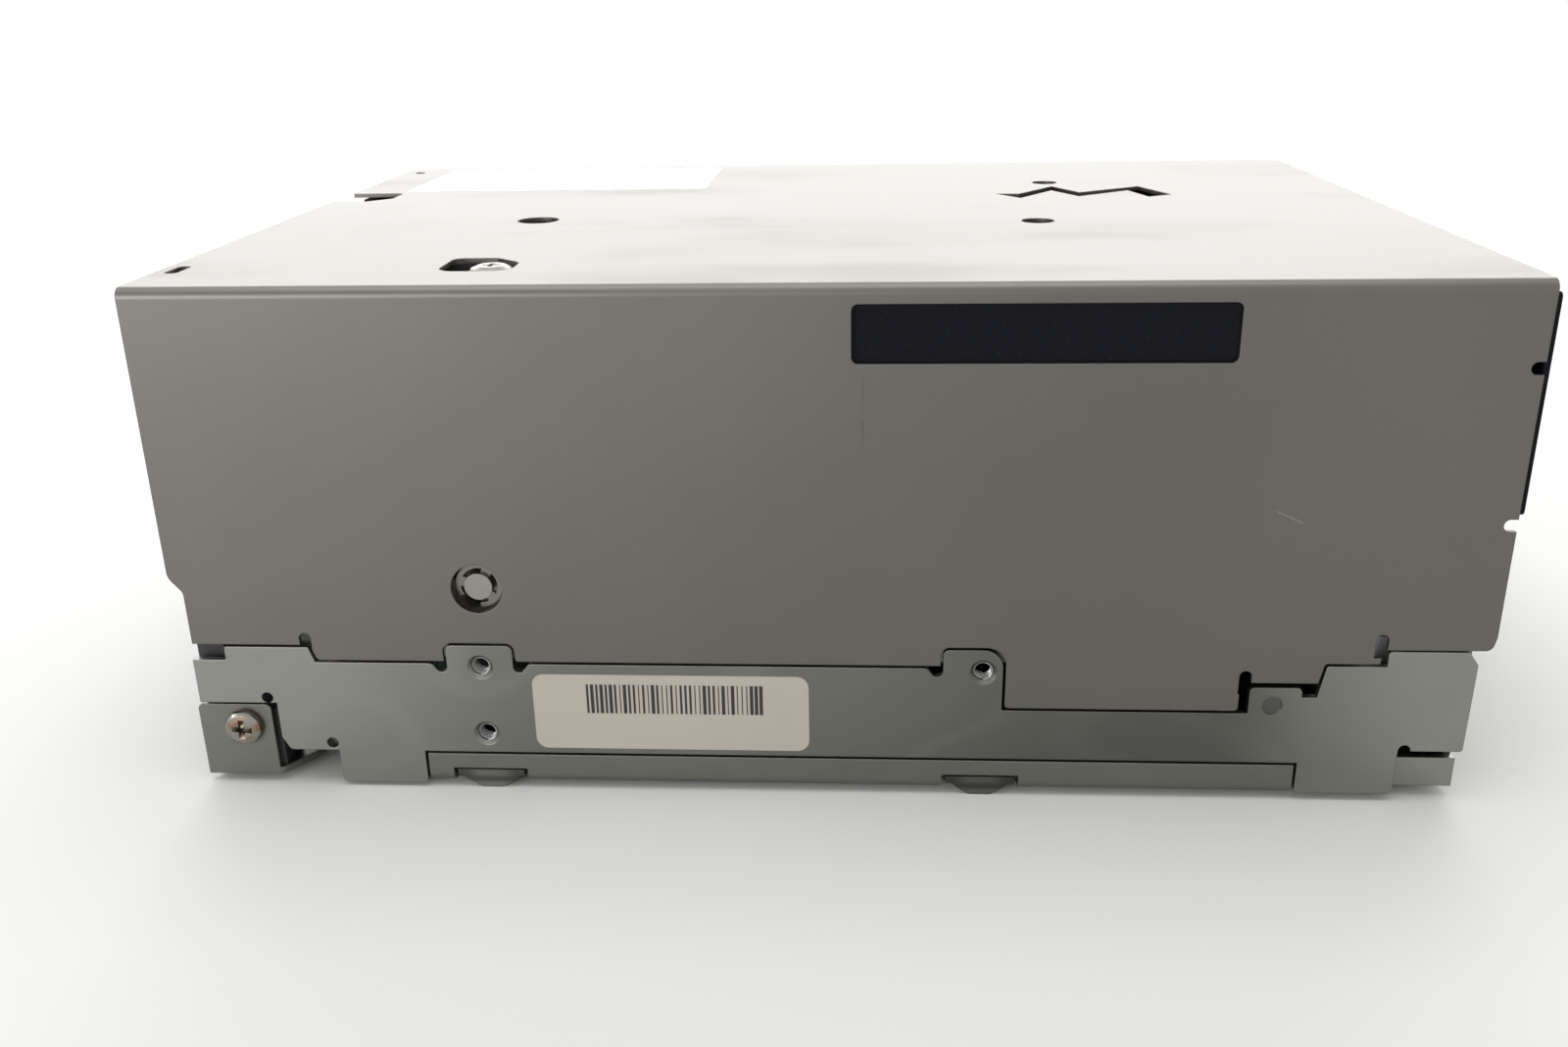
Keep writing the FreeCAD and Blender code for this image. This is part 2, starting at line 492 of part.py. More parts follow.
def make_front_panel():
    y = FRONT_Y
    half = INNER_X - 0.4
    top = HEIGHT - COVER_T - 0.6
    dip = top - 6.0
    body = plate_xz([(-half, 26.4, 1.5), (half, 26.4, 1.5), (half, top, 1.5), (NOTCH_X2 + 1.0, top, 0.8),
                     (NOTCH_X2 + 1.0, dip, 0.8), (NOTCH_X1 - 1.0, dip, 0.8), (NOTCH_X1 - 1.0, top, 0.8),
                     (-half, top, 1.5)], y, FRONT_T)
    cuts = [plate_xz(rect(SLOT_X1, SLOT_X2, SLOT_Z1, SLOT_Z2, 1.5), y - 1, FRONT_T + 2),
            plate_xz(rect(PANEL_X - BUTTON_W / 2 - CLEAR, PANEL_X + BUTTON_W / 2 + CLEAR,
                          BUTTON_Z - BUTTON_H / 2 - CLEAR, BUTTON_Z + BUTTON_H / 2 + CLEAR, 1.0), y - 1,
                     FRONT_T + 2),
            plate_xz(rect(PANEL_X - 5.0, PANEL_X + 5.0, LENS_Z - 7.0, LENS_Z + 7.0, 1.0), y - 1, FRONT_T + 2)]
    ears = []
    for x in (SLOT_X1 + 3.0, SLOT_X2 - 6.0):
        ear = plate_yz([(y + 1, DOOR_PIN_Z - 3), (DOOR_PIN_Y + 2.6, DOOR_PIN_Z - 3, 2.0),
                        (DOOR_PIN_Y + 2.6, DOOR_PIN_Z + 2.6, 2.0), (y + 1, DOOR_PIN_Z + 2.6)], x, 3.0)
        ears.append(ear.cut(rod(x - 1, DOOR_PIN_Y, DOOR_PIN_Z, DOOR_PIN_R, 5, V(1, 0, 0))))
    legs = []
    for side in (1, -1):
        inner = HALF_W - BRACKET_OUT - BRACKET_T
        leg = block(inner - 6.5, inner, 2.0, 12.6, 2.6, 13.0)
        column = block(inner - 6.5, inner - 0.3, y, 5.0, 12.0, 26.0)
        leg = leg.fuse(column).cut(rod(inner - 7, 7.1, 10.4, 1.45, 8, V(1, 0, 0)))
        shelf = block(inner - 9.0, inner - 0.3, 12.0, 20.5, 7.9, 9.9)
        leg = leg.fuse(shelf).cut(rod(LEDGE_X, LEDGE_Y, 2, LEDGE_SCREW_R, 10))
        legs.append(leg if side > 0 else mirror_x(leg))
    louvres = [plate_xz(rect(x - 1.2, x + 1.2, 28.0, 39.0, 1.19), y - 1, FRONT_T + 2)
               for x in range(-20, 61, 8)]
    beam = block(12 - half, half - 12, y, y + FRONT_T, 15.0, 27.0)
    rim = plate_xz(rect(SLOT_X1 - 1.6, SLOT_X2 + 1.6, SLOT_Z1 - 1.6, SLOT_Z2 + 1.6, 2.5), y, 1.2)
    pillars = [rod(PANEL_X + dx, FRONT_Y + FRONT_T, z, 1.6, BOARD_Y - FRONT_Y - FRONT_T, V(0, 1, 0))
               for dx, z in ((-6.0, 60.4), (5.0, 60.4), (-6.0, 29.0))]
    frame = join([body, beam] + legs + ears + [rim] + pillars)
    return frame.cut(Part.makeCompound(cuts + louvres))


def make_cartridge_door():
    """Flap behind the slot, hung from a pin above it."""
    y = FRONT_Y + FRONT_T + CLEAR
    flap = plate_xz(rect(SLOT_X1 + 2.6, SLOT_X2 - 2.6, SLOT_Z1 - 0.8, SLOT_Z2 - 2.4, 0.8), y, DOOR_T)
    knuckles = []
    span = SLOT_X2 - SLOT_X1
    for share in (0.16, 0.5, 0.84):
        x = SLOT_X1 + span * share
        arm = plate_yz([(y, SLOT_Z2 - 5.0), (y + DOOR_T, SLOT_Z2 - 5.0),
                        (DOOR_PIN_Y + 2.0, DOOR_PIN_Z - 1.0, 1.0),
                        (DOOR_PIN_Y + 2.0, DOOR_PIN_Z + 2.0, 1.9), (DOOR_PIN_Y - 2.0, DOOR_PIN_Z + 2.0, 1.9),
                        (DOOR_PIN_Y - 2.0, DOOR_PIN_Z - 2.5, 0.8), (y, SLOT_Z2 - 3.5)], x - 3, 6)
        knuckles.append(arm)
    ribs = [block(x, x + 1.2, y + DOOR_T - 0.2, y + DOOR_T + 0.8, SLOT_Z1 + 1, SLOT_Z2 - 5)
            for x in (SLOT_X1 + 12, SLOT_X1 + span / 2 - 0.6, SLOT_X2 - 13.2)]
    door = join([flap] + knuckles + ribs)
    return door.cut(rod(SLOT_X1 - 5, DOOR_PIN_Y, DOOR_PIN_Z, DOOR_PIN_R + RUNNING, span + 10, V(1, 0, 0)))


def make_door_pin():
    return rod(SLOT_X1 + 2.0, DOOR_PIN_Y, DOOR_PIN_Z, DOOR_PIN_R, SLOT_X2 - SLOT_X1 - 4.0, V(1, 0, 0))


def make_door_spring():
    """Torsion coil on the pin, shown as its turns, with one leg on the panel."""
    x = SLOT_X1 + (SLOT_X2 - SLOT_X1) * 0.16 + 3.5
    turns = [tube(x + i * 0.8, DOOR_PIN_Y, DOOR_PIN_Z, DOOR_PIN_R + 0.9, DOOR_PIN_R + 0.1, 0.75, V(1, 0, 0))
             for i in range(7)]
    leg = block(x + 4.8, x + 5.5, FRONT_Y + FRONT_T, DOOR_PIN_Y, DOOR_PIN_Z + 1.3, DOOR_PIN_Z + 2.0)
    return join([tube(x, DOOR_PIN_Y, DOOR_PIN_Z, DOOR_PIN_R + 0.7, DOOR_PIN_R + 0.1, 5.5, V(1, 0, 0)),
                 leg] + turns)


def make_eject_button():
    x1 = PANEL_X - BUTTON_W / 2
    cap = plate_xz(rect(x1, x1 + BUTTON_W, BUTTON_Z - BUTTON_H / 2, BUTTON_Z + BUTTON_H / 2, 0.8),
                   FRONT_Y, FRONT_T + 1.0)
    flange = block(x1 - 1.2, x1 + BUTTON_W + 1.2, FRONT_Y + FRONT_T + CLEAR, FRONT_Y + FRONT_T + CLEAR + 1.0,
                   BUTTON_Z - BUTTON_H / 2, BUTTON_Z + BUTTON_H / 2)
    stem = rod(PANEL_X, FRONT_Y + FRONT_T, BUTTON_Z, 1.5, 3.0, V(0, 1, 0))
    return join([cap, flange, stem])


BOARD_Y = FRONT_Y + FRONT_T + 7.2


def make_panel_board():
    board = plate_xz(rect(PANEL_X - 8.0, PANEL_X + 7.0, 27.0, 62.0, 0.5), BOARD_Y, 1.2)
    switch = block(PANEL_X - 3, PANEL_X + 3, BOARD_Y - 2.4, BOARD_Y, BUTTON_Z - 3, BUTTON_Z + 3)
    plunger = rod(PANEL_X, BOARD_Y - 2.6, BUTTON_Z, 1.2, 0.4, V(0, 1, 0))
    plug = block(PANEL_X - 5, PANEL_X + 5, BOARD_Y + 1.2, BOARD_Y + 4.2, 28.0, 31.0)
    display = block(PANEL_X - 4.6, PANEL_X + 4.6, FRONT_Y + 0.9, BOARD_Y, LENS_Z - 6.6, LENS_Z + 6.6)
    return join([board, switch, plunger, plug, display])


# ---------------------------------------------------------------- rear and board
REAR_PLATE_Y = 199.4
REAR_PLATE_T = 1.0
PCB_Z = 8.4
PCB_T = 1.6
PCB_TOP = PCB_Z + PCB_T
PCB_X = HALF_W - 12.0
PCB_Y1 = 30.0
PCB_Y2 = 196.0
POWER_X = 46.0
POWER_W = 21.0
POWER_H = 8.0
DATA_X = -20.0
DATA_W = 46.0
DATA_H = 7.4
SERVICE_X = 14.0
SERVICE_W = 13.0
SERVICE_H = 6.6
SOCKET_DEPTH = 11.0
CONNECTOR_Y2 = 202.4
CONNECTORS = ((POWER_X, POWER_W, POWER_H), (DATA_X, DATA_W, DATA_H), (SERVICE_X, SERVICE_W, SERVICE_H))
PILLAR_SPOTS = [(s * (PCB_X - 6.0), y) for y in (40.0, 182.0) for s in (-1, 1)]


def make_rear_panel():
    y = REAR_PLATE_Y
    half = HALF_W - BASE_T - CLEAR
    foot = TAIL_X - CLEAR
    top = HEIGHT - COVER_T - CLEAR
    panel = plate_xz([(-foot, FLOOR_Z + BASE_T), (foot, FLOOR_Z + BASE_T), (foot, TAIL_Z + CLEAR),
                      (half, TAIL_Z + CLEAR),
                      (half, top, 2.0), (-half, top, 2.0), (-half, TAIL_Z + CLEAR), (-foot, TAIL_Z + CLEAR)],
                     y, REAR_PLATE_T)
    cuts = []
    for x, w, h in CONNECTORS:
        cuts.append(plate_xz(rect(x - w / 2 - CLEAR, x + w / 2 + CLEAR, PCB_TOP - CLEAR,
                                  PCB_TOP + h + CLEAR, 0.5),
                             y - 1, 3))
    for row in range(3):
        for column in range(9):
            x = -44.0 + column * 11.0
            z = 30.0 + row * 6.0
            cuts.append(plate_xz(rect(x - 4.0, x + 4.0, z - 1.0, z + 1.0, 0.99), y - 1, 3))
    return panel.cut(Part.makeCompound(cuts))


def make_rear_insulator():
    return plate_xz(rect(-HALF_W + 0.6, HALF_W - 0.6, 47.8, HEIGHT - 1.9, 0.8), COVER_REAR, INSULATOR_T)


def make_window_insulator():
    x = INNER_X - 0.5
    sheet = block(x, INNER_X, WINDOW_Y1 - 6, WINDOW_Y2 + 6, WINDOW_Z1 - 5, HEIGHT - COVER_T - 1.6)
    ledge = block(x - 1.2, x, WINDOW_Y1 + 2, WINDOW_Y2 - 2, WINDOW_Z1 - 1.2, WINDOW_Z1 - 0.4)
    return sheet.fuse(ledge)


def make_main_board():
    board = plate_xy(rect(-PCB_X, PCB_X, PCB_Y1, PCB_Y2, 2.0), PCB_Z, PCB_T)
    holes = [rod(x, y, PCB_Z - 1, 1.6, 4) for x, y in PILLAR_SPOTS]
    return board.cut(Part.makeCompound(holes))


def make_board_chips():
    chips = []
    for x, y, w, d, h in ((-30, 70, 27, 27, 2.2), (10, 66, 20, 20, 1.8), (34, 60, 11, 18, 1.2),
                          (34, 84, 11, 18, 1.2), (-32, 118, 18, 18, 1.6), (6, 108, 14, 20, 1.4),
                          (-36, 160, 14, 14, 1.6), (20, 150, 16, 16, 1.6)):
        chips.append(block(x - w / 2, x + w / 2, y - d / 2, y + d / 2, PCB_TOP, PCB_TOP + h))
    for i in range(6):
        chips.append(rod(-52, 60 + i * 12, PCB_TOP, 3.1, 5.5))
    return Part.makeCompound(chips)


def make_board_pillars():
    pillars = []
    for x, y in PILLAR_SPOTS:
        post = rod(x, y, FLOOR_Z + BASE_T, 3.0, PCB_Z - FLOOR_Z - BASE_T)
        pillars.append(post.cut(rod(x, y, FLOOR_Z, 1.3, 8)))
    return pillars


def make_board_screws():
    return [pan_screw(x, y, PCB_TOP, 2.7, 1.8, 1.25, 5.0, V(0, 0, 1)) for x, y in PILLAR_SPOTS]


def socket_shell(x, w, h, wall=1.1, depth=SOCKET_DEPTH):
    y1 = CONNECTOR_Y2 - depth - 2.5
    shell = block(x - w / 2, x + w / 2, y1, CONNECTOR_Y2, PCB_TOP, PCB_TOP + h)
    hollow = block(x - w / 2 + wall, x + w / 2 - wall, CONNECTOR_Y2 - depth, CONNECTOR_Y2 + 1,
                   PCB_TOP + wall, PCB_TOP + h - wall)
    return shell.cut(hollow)


def make_power_connector():
    """Four-pin drive power header with its two keyed corners."""
    shell = socket_shell(POWER_X, POWER_W, POWER_H)
    keys = []
    for side in (1, -1):
        x = POWER_X + side * (POWER_W / 2 - 1.1)
        z = PCB_TOP + POWER_H - 1.1
        corner = plate_xz([(x, z), (x - side * 1.6, z), (x, z - 1.6)], CONNECTOR_Y2 - SOCKET_DEPTH,
                          SOCKET_DEPTH)
        keys.append(corner)
    pins = []
    for i in range(4):
        x = POWER_X + (i - 1.5) * 5.08
        pins.append(rod(x, CONNECTOR_Y2 - SOCKET_DEPTH, PCB_TOP + POWER_H / 2, 1.05, SOCKET_DEPTH - 5.5,
                        V(0, 1, 0)))
    return join([shell] + keys + pins)


def make_data_connector():
    """Blade receptacle: a tongue inside a shroud, with an end key."""
    shell = socket_shell(DATA_X, DATA_W, DATA_H)
    y1 = CONNECTOR_Y2 - SOCKET_DEPTH
    tongue = block(DATA_X - DATA_W / 2 + 3.5, DATA_X + DATA_W / 2 - 3.5, y1, CONNECTOR_Y2 - 5.2,
                   PCB_TOP + 3.1, PCB_TOP + 4.3)
    key = block(DATA_X + 5.0, DATA_X + 6.4, y1, CONNECTOR_Y2 - 5.2, PCB_TOP + 2.2, PCB_TOP + 3.2)
    return join([shell, tongue, key])


def make_service_connector():
    return socket_shell(SERVICE_X, SERVICE_W, SERVICE_H)


# ---------------------------------------------------------------- deck
DECK_X = HALF_W - 3.5     # edge of the deck
BUSH_SPOTS = [(s * (DECK_X - 3.9), y) for y in (30.0, 180.0) for s in (-1, 1)]
BUSH_R = 4.2
POST_R = 3.6
SUPPLY_Y = CART_Y + CART_L / 2
MOTOR_BASE_R = 25.0
ROTOR_R = 21.5
STATOR_R = 19.6
R1 = (-36.0, 118.0)
R2 = (-49.2, 127.2)
R3 = (-49.2, 2 * HEAD_Y - 127.2)
R4 = (-36.0, 2 * HEAD_Y - 118.0)
ROLLER_SPOTS = (R1, R2, R3, R4)
ROLLER_BOSS_R = 4.2
TAPE_Z = CART_Z + CART_H / 2
ROLLER_Z1 = TAPE_Z - TAPE_W / 2 - 1.8
ROLLER_H = TAPE_W + 3.6
BRIDGE_Z = 66.0
BRIDGE_T = 1.2
BRIDGE_SPOTS = ((2.5 - DECK_X, 112.0), (DECK_X - 5.5, 113.0), (3.5 - DECK_X, 196.0), (DECK_X - 3.0, 195.0))
BRIDGE_POST_R = 2.8


def make_deck():
    z1 = DECK_Z
    top = DECK_Z + DECK_T
    rim = rect(-DECK_X, DECK_X, 10.0, 198.5, 4.0)
    slab = plate_xy(rim, z1, DECK_T)
    skirt = plate_xy(rim, z1 - 2.2, 2.2).cut(plate_xy(rect(2.5 - DECK_X, DECK_X - 2.5, 12.5, 196.0, 2.5),
                                                      z1 - 3, 4))
    ribs = [block(2.0 - DECK_X, DECK_X - 2.0, 103.1, 104.9, z1 - 2.2, z1)]
    ribs += [block(x - 0.9, x + 0.9, 12.0, 196.5, z1 - 2.2, z1) for x in (-58.0, 57.0)]
    bosses = [rod(x, y, top, ROLLER_BOSS_R, ROLLER_Z1 - CLEAR - top) for x, y in ROLLER_SPOTS]
    posts = [rod(x, y, top, BRIDGE_POST_R, BRIDGE_Z - top) for x, y in BRIDGE_SPOTS]
    lugs = [rod(x, y, z1 - 2.2, BUSH_R + 2.4, DECK_T + 2.2) for x, y in BUSH_SPOTS]
    lugs = [lug.common(block(-DECK_X, DECK_X, 10, 198.5, 0, 60)) for lug in lugs]
    body = join([slab, skirt] + ribs + bosses + posts + lugs)
    cuts = [rod(x, y, z1 - 5, BUSH_R + 0.02, DECK_T + 10) for x, y in BUSH_SPOTS]
    for x, y in ((BAY_X, SUPPLY_Y), (REEL_X, REEL_Y)):
        cuts.append(rod(x, y, z1 - 5, ROTOR_R + 1.0, DECK_T + 10))
        cuts.append(rod(x, y, z1 - 5, MOTOR_BASE_R + 0.3, 5.02))
    cuts += [rod(x, y, z1 - 5, 1.5, 60) for x, y in ROLLER_SPOTS]
    cuts += [rod(x, y, BRIDGE_Z - 8, 1.2, 9) for x, y in BRIDGE_SPOTS]
    cuts.append(rod(SCREW_X, HEAD_Y, z1 - 5, 3.2, DECK_T + 10))
    cuts.append(plate_xy(rect(-46, -26, 24, 96, 3.0), z1 - 3, 8))
    cuts.append(plate_xy(rect(36, 54, 24, 96, 3.0), z1 - 3, 8))
    cuts.append(block(WHEEL_X - 3.5, DECK_X - 2.5, PIVOT_Y - 12.5, PIVOT_Y + 12.5, z1 - 3, z1 + 8))
    return body.cut(Part.makeCompound(cuts))


def make_deck_bushes():
    """Rubber isolators: a waist held in the deck lug, with a flange above and below."""
    bushes = []
    for x, y in BUSH_SPOTS:
        low = DECK_Z - 2.2
        core = tube(x, y, low, BUSH_R, 2.1, DECK_T + 2.2)
        foot = tube(x, y, low - 2.0, BUSH_R + 1.0, 2.1, 2.0)
        cap = tube(x, y, DECK_Z + DECK_T, BUSH_R + 1.0, 2.1, 1.5)
        bush = join([core, foot, cap])
        bushes.append(bush)
    return Part.makeCompound(bushes)


def make_deck_posts():
    posts = []
    for x, y in BUSH_SPOTS:
        top = DECK_Z - 4.2
        posts.append(tube(x, y, FLOOR_Z + BASE_T, POST_R, 1.3, top - FLOOR_Z - BASE_T))
    return posts


def make_deck_screws():
    """Shoulder screws down through the isolators into the posts."""
    screws = []
    for x, y in BUSH_SPOTS:
        seat = DECK_Z + DECK_T + 1.5
        screw = pan_screw(x, y, seat, 4.2, 2.0, 2.0, seat - DECK_Z + 4.2, V(0, 0, 1))
        screws.append(screw.fuse(rod(x, y, DECK_Z - 4.2 - 6, 1.3, 6.5)).removeSplitter())
    return Part.makeCompound(screws)


# ---------------------------------------------------------------- reel motors
SCREW_X = -30.5           # head lead screw
ROTOR_Z1 = DECK_Z + 1.6
ROTOR_H = 6.4
BEARING_R = 5.0


def reel_motor(x, y):
    """Fixed half of a flat motor: base, bearing tube and wound teeth."""
    z = DECK_Z - 1.4
    base = rod(x, y, z, MOTOR_BASE_R, 1.4)
    bearing = rod(x, y, z - 4.0, BEARING_R, ROTOR_Z1 + ROTOR_H - 1.6 - z + 4.0 - CLEAR)
    ring = tube(0, 0, 0, STATOR_R, STATOR_R - 1.8, 3.4)
    poles = []
    slots = []
    for i in range(9):
        slot = block(-0.9, 0.9, STATOR_R - 4, STATOR_R + 1, -1, 5)
        slot.rotate(V(0, 0, 0), V(0, 0, 1), i * 40 + 20)
        slots.append(slot)
        pole = block(-2.6, 2.6, BEARING_R - 0.6, STATOR_R - 1, 0.2, 3.2)
        pole.rotate(V(0, 0, 0), V(0, 0, 1), i * 40)
        poles.append(pole)
    ring = ring.cut(Part.makeCompound(slots))
    stator = ring.multiFuse(poles)
    stator.translate(V(x, y, z + 1.4))
    motor = join([base, bearing, stator])
    return motor.cut(rod(x, y, z - 5, SHAFT_R + RUNNING, 30))


def rotor_cup(x, y):
    cup = rod(x, y, ROTOR_Z1, ROTOR_R, ROTOR_H)
    inside = rod(x, y, ROTOR_Z1 - 1, STATOR_R + 0.5, ROTOR_H - 0.6)
    shaft = rod(x, y, DECK_Z - 4.0, SHAFT_R, ROTOR_Z1 + ROTOR_H - DECK_Z + 4.0)
    return cup.cut(inside).fuse(shaft)


def make_supply_motor():
    return reel_motor(BAY_X, SUPPLY_Y)


def make_takeup_motor():
    return reel_motor(REEL_X, REEL_Y)


DRIVE_TEETH = 24
DRIVE_R = 15.0


def make_supply_hub():
    """Rotor with the ring of face teeth that drives the cartridge reel."""
    x, y = BAY_X, SUPPLY_Y
    cup = rotor_cup(x, y)
    z = ROTOR_Z1 + ROTOR_H
    seat = rod(x, y, z, DRIVE_R + 3.5, 2.2)
    nose = Part.makeCone(4.5, 3.4, 3.6, V(x, y, z + 2.2))
    collar = tube(x, y, z + 2.2, DRIVE_R + 2.2, DRIVE_R - 2.2, 1.0)
    teeth = []
    for i in range(DRIVE_TEETH):
        tooth = plate_xz([(-1.1, 0), (1.1, 0), (0.45, 2.0), (-0.45, 2.0)], DRIVE_R - 2.0, 4.0)
        tooth.translate(V(0, 0, z + 3.1))
        tooth.rotate(V(0, 0, 0), V(0, 0, 1), i * 360.0 / DRIVE_TEETH)
        tooth.translate(V(x, y, 0))
        teeth.append(tooth)
    return join([cup, seat, nose, collar] + teeth)


REEL_Z1 = TAPE_Z - TAPE_W / 2 - CLEAR - REEL_FLANGE_T
REEL_Z2 = TAPE_Z + TAPE_W / 2 + CLEAR


def make_takeup_hub():
    """Rotor, hub and lower flange; the hub has two opposite pockets, either of which takes the leader block."""
    x, y = REEL_X, REEL_Y
    z = ROTOR_Z1 + ROTOR_H
    neck = rod(x, y, z, 14.0, REEL_Z1 - z)
    flange = rod(x, y, REEL_Z1, REEL_R, REEL_FLANGE_T)
    hub = rod(x, y, REEL_Z1 + REEL_FLANGE_T, REEL_HUB_R, REEL_Z2 - REEL_Z1 - REEL_FLANGE_T)
    windows = []
    for i in range(6):
        hole = rod(x + 32 * cos(radians(i * 60)), y + 32 * sin(radians(i * 60)), REEL_Z1 - 1, 5.5, 4)
        windows.append(hole)
    body = join([rotor_cup(x, y), neck, flange, hub])
    return body.cut(Part.makeCompound(windows + block_paths(REEL_Z1 + REEL_FLANGE_T - 0.01, REEL_Z2 + 1)))


def make_takeup_flange():
    """Upper flange with the curved slots that let the leader block in."""
    x, y = REEL_X, REEL_Y
    flange = rod(x, y, REEL_Z2, REEL_R, REEL_FLANGE_T)
    return flange.cut(Part.makeCompound(block_paths(REEL_Z2 - 1, REEL_Z2 + 3)))


BLOCK_W = 8.0             # leader block across the arm
BLOCK_L = 9.0             # along its path
PATH_CLEAR = 1.0


def arm_angle(share):
    return ARM_HOME_DEG - ARM_SWEEP_DEG * share


def block_paths(z1, z2):
    """Space that the leader block passes through, a sector of a ring about the arm's pivot, and its opposite."""
    r1 = ARM_R - BLOCK_W / 2 - PATH_CLEAR
    r2 = ARM_R + BLOCK_W / 2 + PATH_CLEAR
    stop = arm_angle(1) - degrees((BLOCK_L / 2 + PATH_CLEAR) / ARM_R)
    ring = Part.makeCylinder(r2, z2 - z1, V(ARM_X, ARM_Y, z1), V(0, 0, 1), 100.0)
    ring = ring.cut(rod(ARM_X, ARM_Y, z1 - 1, r1, z2 - z1 + 2))
    ring.rotate(V(ARM_X, ARM_Y, 0), V(0, 0, 1), stop)
    opposite = ring.copy()
    opposite.rotate(V(REEL_X, REEL_Y, 0), V(0, 0, 1), 180.0)
    return [ring, opposite]


# ---------------------------------------------------------------- tape path
PIN_R = 1.5


def make_roller(spot):
    x, y = spot
    lower = rod(x, y, ROLLER_Z1, ROLLER_FLANGE_R, 1.4)
    barrel = rod(x, y, ROLLER_Z1 + 1.4, ROLLER_R, ROLLER_H - 2.8)
    upper = rod(x, y, ROLLER_Z1 + ROLLER_H - 1.4, ROLLER_FLANGE_R, 1.4)
    grooves = [tube(x, y, ROLLER_Z1 + 1.4 + (i + 1) * TAPE_W / 5, ROLLER_R + 1, ROLLER_R - 0.25,
                    0.5) for i in range(4)]
    body = join([lower, barrel, upper])
    bore = rod(x, y, ROLLER_Z1 - 1, PIN_R + RUNNING, ROLLER_H + 2)
    recess = rod(x, y, ROLLER_Z1 + ROLLER_H - 1.0, 3.6, 2)
    return body.cut(Part.makeCompound([bore, recess] + grooves))


def make_roller_pins():
    pins = []
    for x, y in ROLLER_SPOTS:
        pin = rod(x, y, DECK_Z, PIN_R, ROLLER_Z1 + ROLLER_H + 1.0 - DECK_Z)
        clip = rod(x, y, ROLLER_Z1 + ROLLER_H + CLEAR, 3.0, 0.8)
        pins.append(pin.fuse(clip).removeSplitter())
    return Part.makeCompound(pins)


# ---------------------------------------------------------------- head and its lift
SHAFT_X = -38.5
SHAFT_DY = 10.5
YOKE_Z = 56.8
LEAD = 2.0                # lead screw, per turn
CARRIAGE_H = 8.4


def make_head_base():
    """Cast yoke: foot on the deck, back wall, and the top plate that holds the shafts."""
    floor = DECK_Z + DECK_T
    foot = plate_xy(rect(-44.0, -23.6, HEAD_Y - 14.5, HEAD_Y + 14.5, 2.0), floor, 2.5)
    wall = plate_yz([(HEAD_Y - 14.5, floor), (HEAD_Y + 14.5, floor), (HEAD_Y + 10.0, YOKE_Z + 1.4),
                     (HEAD_Y - 10.0, YOKE_Z + 1.4)], -25.2, 1.6)
    window = plate_yz(rect(HEAD_Y - 6.0, HEAD_Y + 6.0, floor + 6, YOKE_Z - 5, 2.0), -26, 3)
    yoke = plate_xy([(-41.6, HEAD_Y - 13.5, 2.5), (-23.6, HEAD_Y - 10.0), (-23.6, HEAD_Y + 10.0),
                     (-41.6, HEAD_Y + 13.5, 2.5)], YOKE_Z, 1.4)
    body = join([foot, wall.cut(window), yoke])
    cuts = [rod(SHAFT_X, HEAD_Y + s * SHAFT_DY, 0, PIN_R, 90) for s in (1, -1)]
    cuts.append(rod(SCREW_X, HEAD_Y, floor - 1, PIN_R + 0.4, 5))
    cuts.append(rod(SCREW_X, HEAD_Y, YOKE_Z - 1, PIN_R + RUNNING, 5))
    return body.cut(Part.makeCompound(cuts))


def make_guide_shafts():
    z = DECK_Z + DECK_T
    return Part.makeCompound([rod(SHAFT_X, HEAD_Y + s * SHAFT_DY, z, PIN_R, YOKE_Z + 1.4 - z)
                              for s in (1, -1)])


def make_head_carriage():
    z = TAPE_Z - CARRIAGE_H / 2
    web = plate_xy([(-43.0, HEAD_Y - 7.0, 1.0), (-39.0, HEAD_Y - 13.4, 2.0), (-35.5, HEAD_Y - 13.4, 1.5),
                    (-27.5, HEAD_Y - 4.0, 2.0), (-27.5, HEAD_Y + 4.0, 2.0), (-35.5, HEAD_Y + 13.4, 1.5),
                    (-39.0, HEAD_Y + 13.4, 2.0), (-43.0, HEAD_Y + 7.0, 1.0)], z, CARRIAGE_H)
    pocket = plate_xy(rect(-41.0, -35.0, HEAD_Y - 5.5, HEAD_Y + 5.5, 1.2), z + 2.0, CARRIAGE_H)
    cuts = [pocket, rod(SCREW_X, HEAD_Y, z - 1, PIN_R + RUNNING, CARRIAGE_H + 2)]
    cuts += [rod(SHAFT_X, HEAD_Y + s * SHAFT_DY, z - 1, PIN_R + RUNNING, CARRIAGE_H + 2) for s in (1, -1)]
    return web.cut(Part.makeCompound(cuts))


HEAD_H = 12.9


def make_head_block():
    """Two rounded tape-bearing lands on one bar, held to the carriage by its fine actuator."""
    z = TAPE_Z - HEAD_H / 2
    bar = block(HEAD_X + 2.2, -48.0, HEAD_Y - 7.2, HEAD_Y + 7.2, z, z + HEAD_H)
    lands = []
    for y in (HEAD_Y - 3.4, HEAD_Y + 3.4):
        land = rod(HEAD_X + 2.6, y, z, 2.6, HEAD_H).common(block(HEAD_X, HEAD_X + 2.6, y - 3, y + 3, z,
                                                                 z + HEAD_H))
        lands.append(land)
    return join([bar] + lands)


def make_fine_actuator():
    """Flexure frame and coil between the carriage and the head."""
    z = TAPE_Z
    back = block(-44.2, -43.0, HEAD_Y - 6.6, HEAD_Y + 6.6, z - 5.0, z + 5.0)
    leaves = [block(-48.0, -44.2, HEAD_Y - 6.0, HEAD_Y + 6.0, z + dz - 0.2, z + dz + 0.2)
              for dz in (-4.6, 4.6)]
    coil = block(-47.6, -44.2, HEAD_Y - 3.6, HEAD_Y + 3.6, z - 2.8, z + 2.8)
    return join([back, coil] + leaves)


